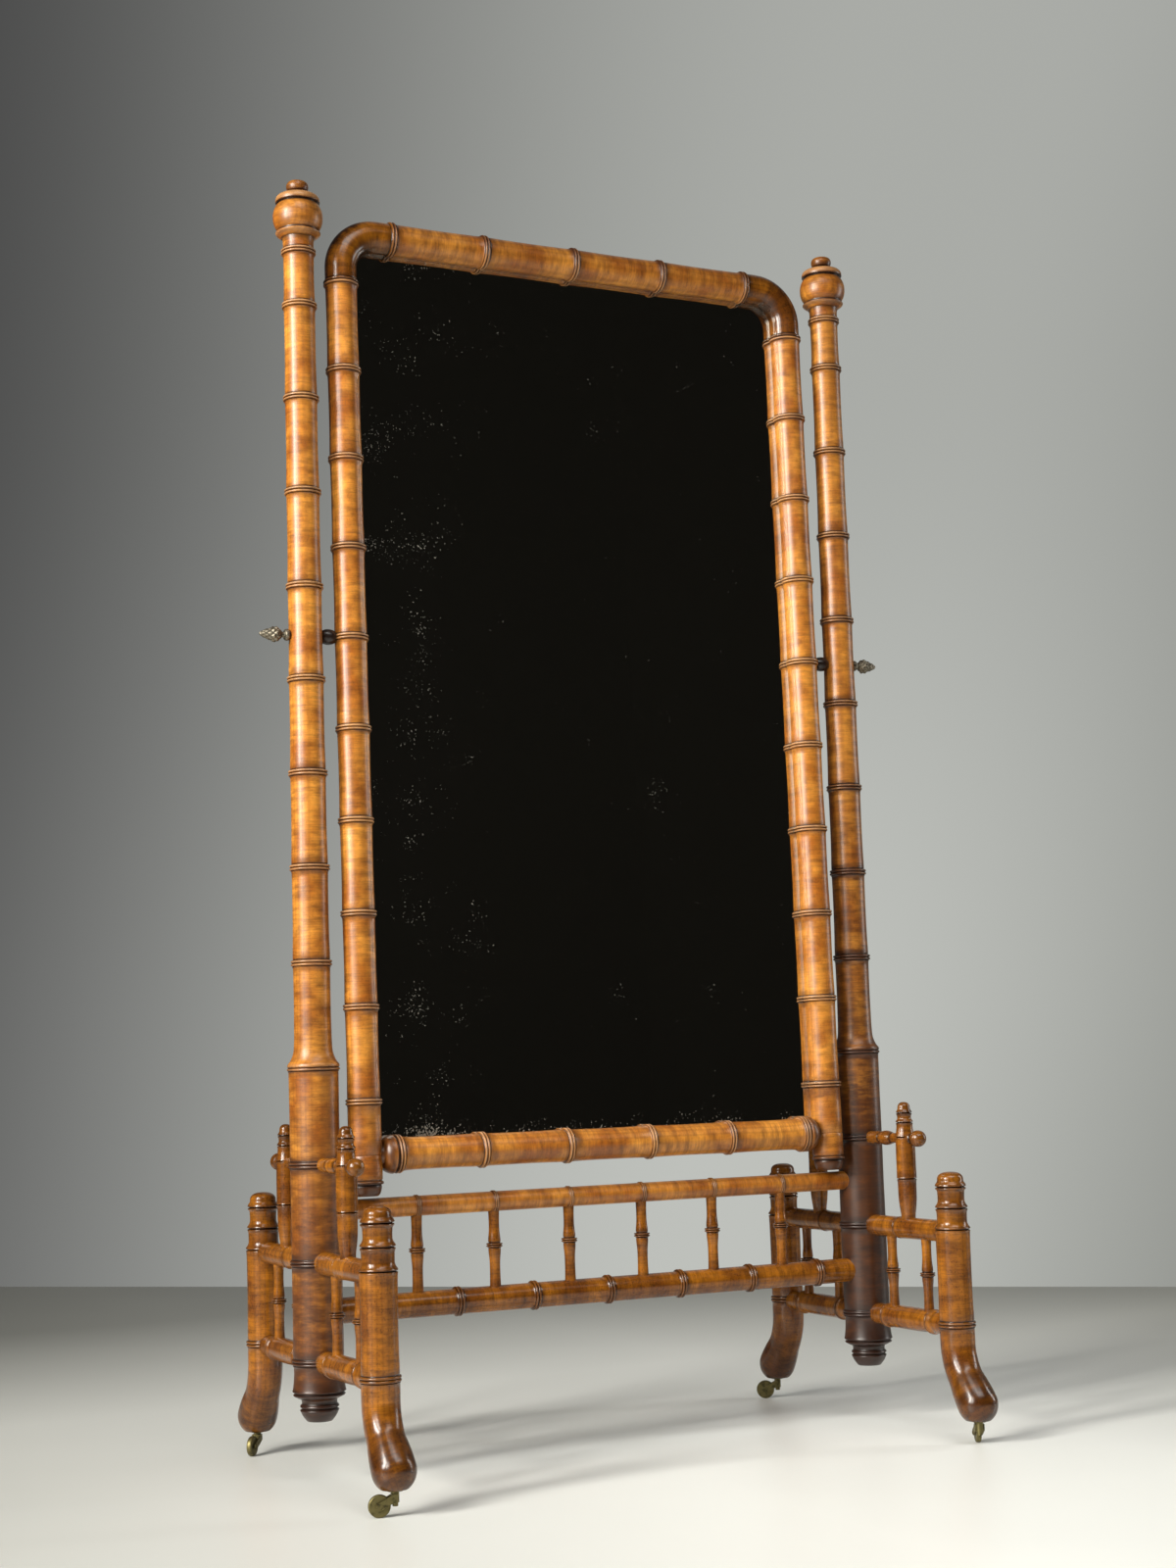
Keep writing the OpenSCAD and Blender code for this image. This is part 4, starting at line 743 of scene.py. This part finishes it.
# Mirror frame. Turned beech, glued up round the glass: two stiles with tapered drops, steam-bent
# corner elbows, a top rail, and a bottom rail with bell ends. Places are measured from the pivots,
# along the frame, which leans back at the top.
frame_r = 23.5
frame_lift = 2.6
stile_x = 381.0
stile_bay = 133.6
top_t, bottom_t = 613.4, -743.0
elbow_leg, elbow_r = 79.0, 55.0
rebate_u, rebate_w = 7, 15.3
lean = math.radians(1.2)
leaning = Matrix.Rotation(-lean, 3, "X")
pivot = Vector((0, 0, pivot_z))


def in_frame(path):
    """A centreline given in the mirror frame's own plane, leaned back with it."""

    def centre(z):
        at, side, over = path(z)
        return pivot + leaning @ at, leaning @ side, leaning @ over

    return centre


def rebate(u, w, z):
    """The back of the inner side is cut away for the backboard, which covers the cut."""
    return u, min(w, rebate_w) if u < -rebate_u else w


def stile_trim(u, w, z):
    """A flat beside the pivot, where the spacer bears, and the rebate at the back."""
    if w * w + z * z < spotface_r ** 2:
        u = min(u, frame_r + frame_lift - 1.5)
    return rebate(u, w, z)


tail = bottom_t - 57
stile_outline = [
    (16.5, tail, 0.2), (19.3, tail + 2.5), (20.9, tail + 6), (22.3, tail + 14, 0),
    (21.5, tail + 15.5, -1), (24.9, tail + 17, 0.5), (25.1, tail + 19, 0.6), (24.3, tail + 20.5, 0.1),
    (22.7, tail + 21.5, -0.9), (23.8, tail + 24), (23.8, tail + 40), (23.8, bottom_t - 0.8, 0),
    (23.1, bottom_t, -0.35), (23.8, bottom_t + 0.8, 0.2)]
for n in range(-5, 4):
    stile_outline += ring_pair(n * stile_bay, frame_r, frame_lift)
    stile_outline += bay(n * stile_bay, frame_r, (n + 1) * stile_bay, frame_r)
stile_outline += ring_low(4 * stile_bay, frame_r, frame_lift)


def stile_burn(z, angle):
    """The tip of the drop is dark, and the stile has darkened a little upwards from it."""
    return 0.5 * math.exp(-max(z - tail - 14, 0) / 8) + 0.15 * math.exp(-max(z - tail, 0) / 200)


elbow_len = 2 * (elbow_leg - elbow_r) + elbow_r * math.pi / 2
elbow_end = [(frame_r + 0.1 * frame_lift, 0.1, -1)] + ring_high(0, frame_r, frame_lift)
elbow_outline = elbow_end + [(frame_r, 14), (frame_r, 24)]
elbow_outline += [(frame_r, 24 + (elbow_len - 48) * k / 12) for k in range(1, 12)]
elbow_outline += [(r, elbow_len - z, tone) for r, z, tone in reversed(elbow_end)]


def elbow_path(side):
    """Centreline of an elbow, by its length from the stile: a short leg, a quarter turn and a leg."""
    corner = Vector((side * (stile_x - elbow_r), 0, top_t - elbow_r))
    leg = elbow_leg - elbow_r

    def centre(z):
        turn = min(max((z - leg) / elbow_r, 0), math.pi / 2)
        out = Vector((side * math.cos(turn), 0, math.sin(turn)))
        on = Vector((-side * math.sin(turn), 0, math.cos(turn)))
        past = min(z - leg, 0) + max(z - leg - elbow_r * math.pi / 2, 0)
        return corner + out * elbow_r + on * past, out, Vector((0, 1, 0))

    return centre


def elbow_bend_and_shade(z, angle):
    """The steamed bend is darker round its middle, and painted shade darkens its outer and inner sides,
    leaving a lighter band down its front and back.
    """
    mid = math.exp(-((z - elbow_len / 2) / 42) ** 2)
    return mid * (0.25 + 0.5 * math.cos(angle) ** 2)


to_back = Vector((0, 1, 0))
for side_name, side in (("left", -1), ("right", 1)):
    up_stile = in_frame(lambda z, side=side: (Vector((side * stile_x, 0, z)),
                                              Vector((side, 0, 0)), to_back))
    stile = turned(side_name + "_stile_wood", stile_outline, up_stile, stain_and_shade=stile_burn, trim=stile_trim)
    fit(stile, side_name + "_stile", honey_beech, "mirror")
    elbow = turned(side_name + "_elbow_wood", elbow_outline, in_frame(elbow_path(side)),
                   stain_and_shade=elbow_bend_and_shade, trim=rebate)
    fit(elbow, side_name + "_elbow", brown_beech, "mirror")

elbow_x = stile_x - elbow_leg
half_ring = ring_low(0, frame_r, frame_lift)
top_outline = [(r, -elbow_x - z, tone) for r, z, tone in reversed(half_ring)]
top_outline += bay(-elbow_x, frame_r, -elbow_x / 2, frame_r)
for n in (-1, 0, 1):
    top_outline += ring_pair(n * elbow_x / 2, frame_r, frame_lift)
    top_outline += bay(n * elbow_x / 2, frame_r, (n + 1) * elbow_x / 2, frame_r)
top_outline += [(r, elbow_x + z, tone) for r, z, tone in half_ring]


def top_stain_and_shade(x, angle):
    """The rail is darker all round, and painted shade darkens its upper side more than its lower."""
    return 0.2 + 0.16 * math.cos(angle)


top_rail = turned("top_rail_wood", top_outline,
                  in_frame(lambda x: (Vector((x, 0, top_t)), Vector((0, 0, 1)), to_back)),
                  stain_and_shade=top_stain_and_shade, trim=rebate)
fit(top_rail, "top_rail", honey_beech, "mirror")

inner_ring_x, outer_ring_x, end_ring_x = 67.7, 203.1, 333.0
bell_end_x, bell_r, neck_r = 356.7, frame_r + 4, 15.0
bell_len = bell_end_x - end_ring_x - ring_half
bell = [(neck_r + (bell_r - neck_r) * math.sqrt(1 - k * k), end_ring_x + ring_half + bell_len * k)
        for k in (0.1, 0.25, 0.4, 0.55, 0.7, 0.82, 0.92, 0.98)]
bottom_half = []
for ring_x, next_x in ((inner_ring_x, outer_ring_x), (outer_ring_x, end_ring_x)):
    bottom_half += ring_pair(ring_x, frame_r, frame_lift) + bay(ring_x, frame_r, next_x, frame_r)
bottom_half += ring_pair(end_ring_x, frame_r + 1, frame_lift + 0.4) + bell
bottom_half += [(neck_r, bell_end_x), (neck_r, stile_x - 17)]
bottom_outline = [(p[0], -p[1]) + tuple(p[2:]) for p in reversed(bottom_half)]
bottom_outline += [(frame_r - 0.7, 0)] + bottom_half


def bell_burn(x, angle):
    """The bells at both ends of the bottom rail are dark."""
    return 0.5 * math.exp(-max(end_ring_x + 12 - abs(x), 0) / 6)


bottom_rail = turned("bottom_rail_wood", bottom_outline,
                     in_frame(lambda x: (Vector((x, 0, bottom_t)), Vector((0, 0, -1)), to_back)),
                     stain_and_shade=bell_burn, trim=rebate)
fit(bottom_rail, "bottom_rail", honey_beech, "mirror")


# Glass. One plate, silvered on the back and held in the frame by the backboard. It still mirrors
# sharply, a little warm, but the silver has gone in dull grey specks and clouds.
silvered = bpy.data.materials.new("old_silvered_glass")
silvered.use_nodes = True
tree = silvered.node_tree
place = add(tree, "TexCoord")
# its X runs from 0 to 1 across the glass, and its Z from 0 to 1 up it
part = add(tree, "SeparateXYZ", {0: place.outputs["Generated"]})
# specks of 1 to 3 mm, in clouds of about 80 mm
speck = add(tree, "TexNoise", {"Vector": place.outputs["Object"], "Scale": 330.0, "Detail": 2.0,
                               "Roughness": 0.6}).outputs["Fac"]
cloud = add(tree, "TexNoise", {"Vector": place.outputs["Object"], "Scale": 13.0, "Detail": 3.0,
                               "Roughness": 0.6}).outputs["Fac"]
spots = add(tree, "Math", {0: cloud, 1: 0.55, 2: speck}, operation="MULTIPLY_ADD").outputs[0]
# more of them down the left side, but fewer at its very edge, along the foot, right and top
for way, start, end, more in (
        ("X", 0.3, 0.12, 0.085), ("X", 0.1, 0.0, -0.05), ("Z", 0.03, 0.005, 0.16),
        ("X", 0.97, 1.0, 0.05), ("Z", 0.97, 1.0, 0.04)):
    near = add(tree, "MapRange", {"Value": part.outputs[way], "From Min": start, "From Max": end,
                                  "To Max": more})
    spots = add(tree, "Math", {0: spots, 1: near.outputs[0]}, operation="ADD").outputs[0]
gone = add(tree, "MapRange", {"Value": spots, "From Min": 1.065, "From Max": 1.12}).outputs[0]
silver = tree.nodes["Principled BSDF"]
colour = add(tree, "Mix", {0: gone, 6: linear("#D2CFC4"), 7: linear("#7E7A70")}, data_type="RGBA")
tree.links.new(colour.outputs[2], silver.inputs["Base Color"])
for socket, sound, spent in (("Roughness", 0.03, 0.6), ("Metallic", 1.0, 0.2)):
    worn = add(tree, "MapRange", {"Value": gone, "To Min": sound, "To Max": spent})
    tree.links.new(worn.outputs[0], silver.inputs[socket])
keep("mirror_glass", silvered)


# Backboard. One thin board of deal, sawn, left raw and held to the frame by eighteen brass screws.
# The eye gets a matt grey-brown with upright streaks of grain, the marks of the saw and old stains.
deal = bpy.data.materials.new("raw_deal")
deal.use_nodes = True
tree = deal.node_tree
place = add(tree, "TexCoord").outputs["Object"]
upright = add(tree, "VectorMath", {0: place, 1: (1, 1, 0.06)}, operation="MULTIPLY").outputs[0]
# grain in streaks 10 mm wide, drawn out upright, and stains of about 300 mm
streak = add(tree, "TexNoise", {"Vector": upright, "Scale": 90.0, "Detail": 4.0, "Roughness": 0.6,
                                "Distortion": 0.4}).outputs["Fac"]
extra_dark = add(tree, "TexNoise", {"Vector": place, "Scale": 3.0, "Detail": 3.0}).outputs["Fac"]
colour = add(tree, "Mix", {0: streak, 6: linear("#C29A66"), 7: linear("#7E5A34")},
             data_type="RGBA").outputs[2]
stained = add(tree, "MapRange", {"Value": extra_dark, "From Min": 0.4, "From Max": 0.8, "To Max": 0.5})
colour = add(tree, "Mix", {0: stained.outputs[0], 6: colour, 7: linear("#5E4630")},
             data_type="RGBA").outputs[2]
saw = add(tree, "Bump", {"Height": streak, "Strength": 0.5, "Distance": 0.0005})
raw = tree.nodes["Principled BSDF"]
tree.links.new(colour, raw.inputs["Base Color"])
tree.links.new(saw.outputs[0], raw.inputs["Normal"])
raw.inputs["Roughness"].default_value = 0.72
keep("backboard", deal, 0.5)
# The screws and sockets have kept some of the yellow of turned brass.
screw_brass = aged_brass("screw_brass", bright="#B09A5E", dull="#80703E", dark="#40361E",
                         rough=0.35)
keep("backboard_screws", screw_brass)


# Pivots. A brass thumb-screw with a pineapple head runs through each post and a black turned
# spacer into a threaded socket in the stile, and the mirror tilts on the two.
keep("stile_sockets", screw_brass)
thumb_a = post_x + pivot_face + 0.3
scales_from = thumb_a + 12.4
knob_end = thumb_a + 45
thumb_outline = [
    (4, stile_x + 9), (4, thumb_a), (5, thumb_a), (8, thumb_a + 1.6), (8.6, thumb_a + 4),
    (7.6, thumb_a + 6.8), (4.2, thumb_a + 9), (4, thumb_a + 11), (5.6, thumb_a + 12.4)]
head = [(12.4, 5.6), (16.5, 9.6), (20.5, 12), (24.5, 11.4), (30, 9), (38, 6), (43.5, 3)]
thumb_outline += [(r0 + (r1 - r0) * k / 3, thumb_a + z0 + (z1 - z0) * k / 3)
                  for (z0, r0), (z1, r1) in zip(head, head[1:]) for k in (1, 2, 3)]
thumb_outline += [(1.2, knob_end)]


def pineapple(r, z, angle):
    """Cuts crossing grooves round the head, six each way, which leave rows of small scales."""
    depth, twist, grooves = 0.2, 0.36, 6
    if z < scales_from + 1:
        return 0
    turn = twist * (z - scales_from)
    crossed = math.sin(grooves / 2 * angle + turn) * math.sin(grooves / 2 * angle - turn)
    return -depth * r * (1 - abs(crossed) ** 0.5)


# The thumb-screws' brass has gone a warm grey from long handling.
antique_brass = aged_brass("antique_brass", bright="#8E8676", dull="#6A6254", dark="#2C261E",
                           rough=0.45)
for side_name, side in (("left", -1), ("right", 1)):
    screw = turned(side_name + "_thumb_screw_brass", thumb_outline,
                   straight((0, 0, pivot_z), (side, 0, 0), (0, 0, 1)), segments=96, relief=pineapple)
    fit(screw, side_name + "_thumb_screw", antique_brass, side_name + "_thumb_screw")

# Spacers of beech, turned, stained black and polished: nearly black, with a trace of brown in the
# marks of the tool and a clear gloss.
ebonised = bpy.data.materials.new("ebonised_beech")
ebonised.use_nodes = True
tree = ebonised.node_tree
grain = add(tree, "Attribute", attribute_name="grain").outputs["Vector"]
tool = add(tree, "TexNoise", {"Vector": grain, "Scale": 0.7, "Detail": 3.0}).outputs["Fac"]
colour = add(tree, "Mix", {0: tool, 6: linear("#1A1210"), 7: linear("#2E211B")},
             data_type="RGBA").outputs[2]
black = tree.nodes["Principled BSDF"]
tree.links.new(colour, black.inputs["Base Color"])
black.inputs["Roughness"].default_value = 0.3
spacer_x, spacer_half, spacer_r, bulge_r = 415.8, 9.9, 11.5, 9
bulge = math.sin(math.radians(50))
spacer_outline = [(spacer_r - bulge_r + bulge_r * math.cos(math.radians(a)),
                   spacer_half * math.sin(math.radians(a)) / bulge)
                  for a in range(-50, 51, 10)]
for side_name, side in (("left", -1), ("right", 1)):
    spacer = turned(side_name + "_spacer_wood", spacer_outline,
                    straight((side * spacer_x, 0, pivot_z), (side, 0, 0), (0, 0, 1)), segments=48)
    fit(spacer, side_name + "_spacer", ebonised, "stand")
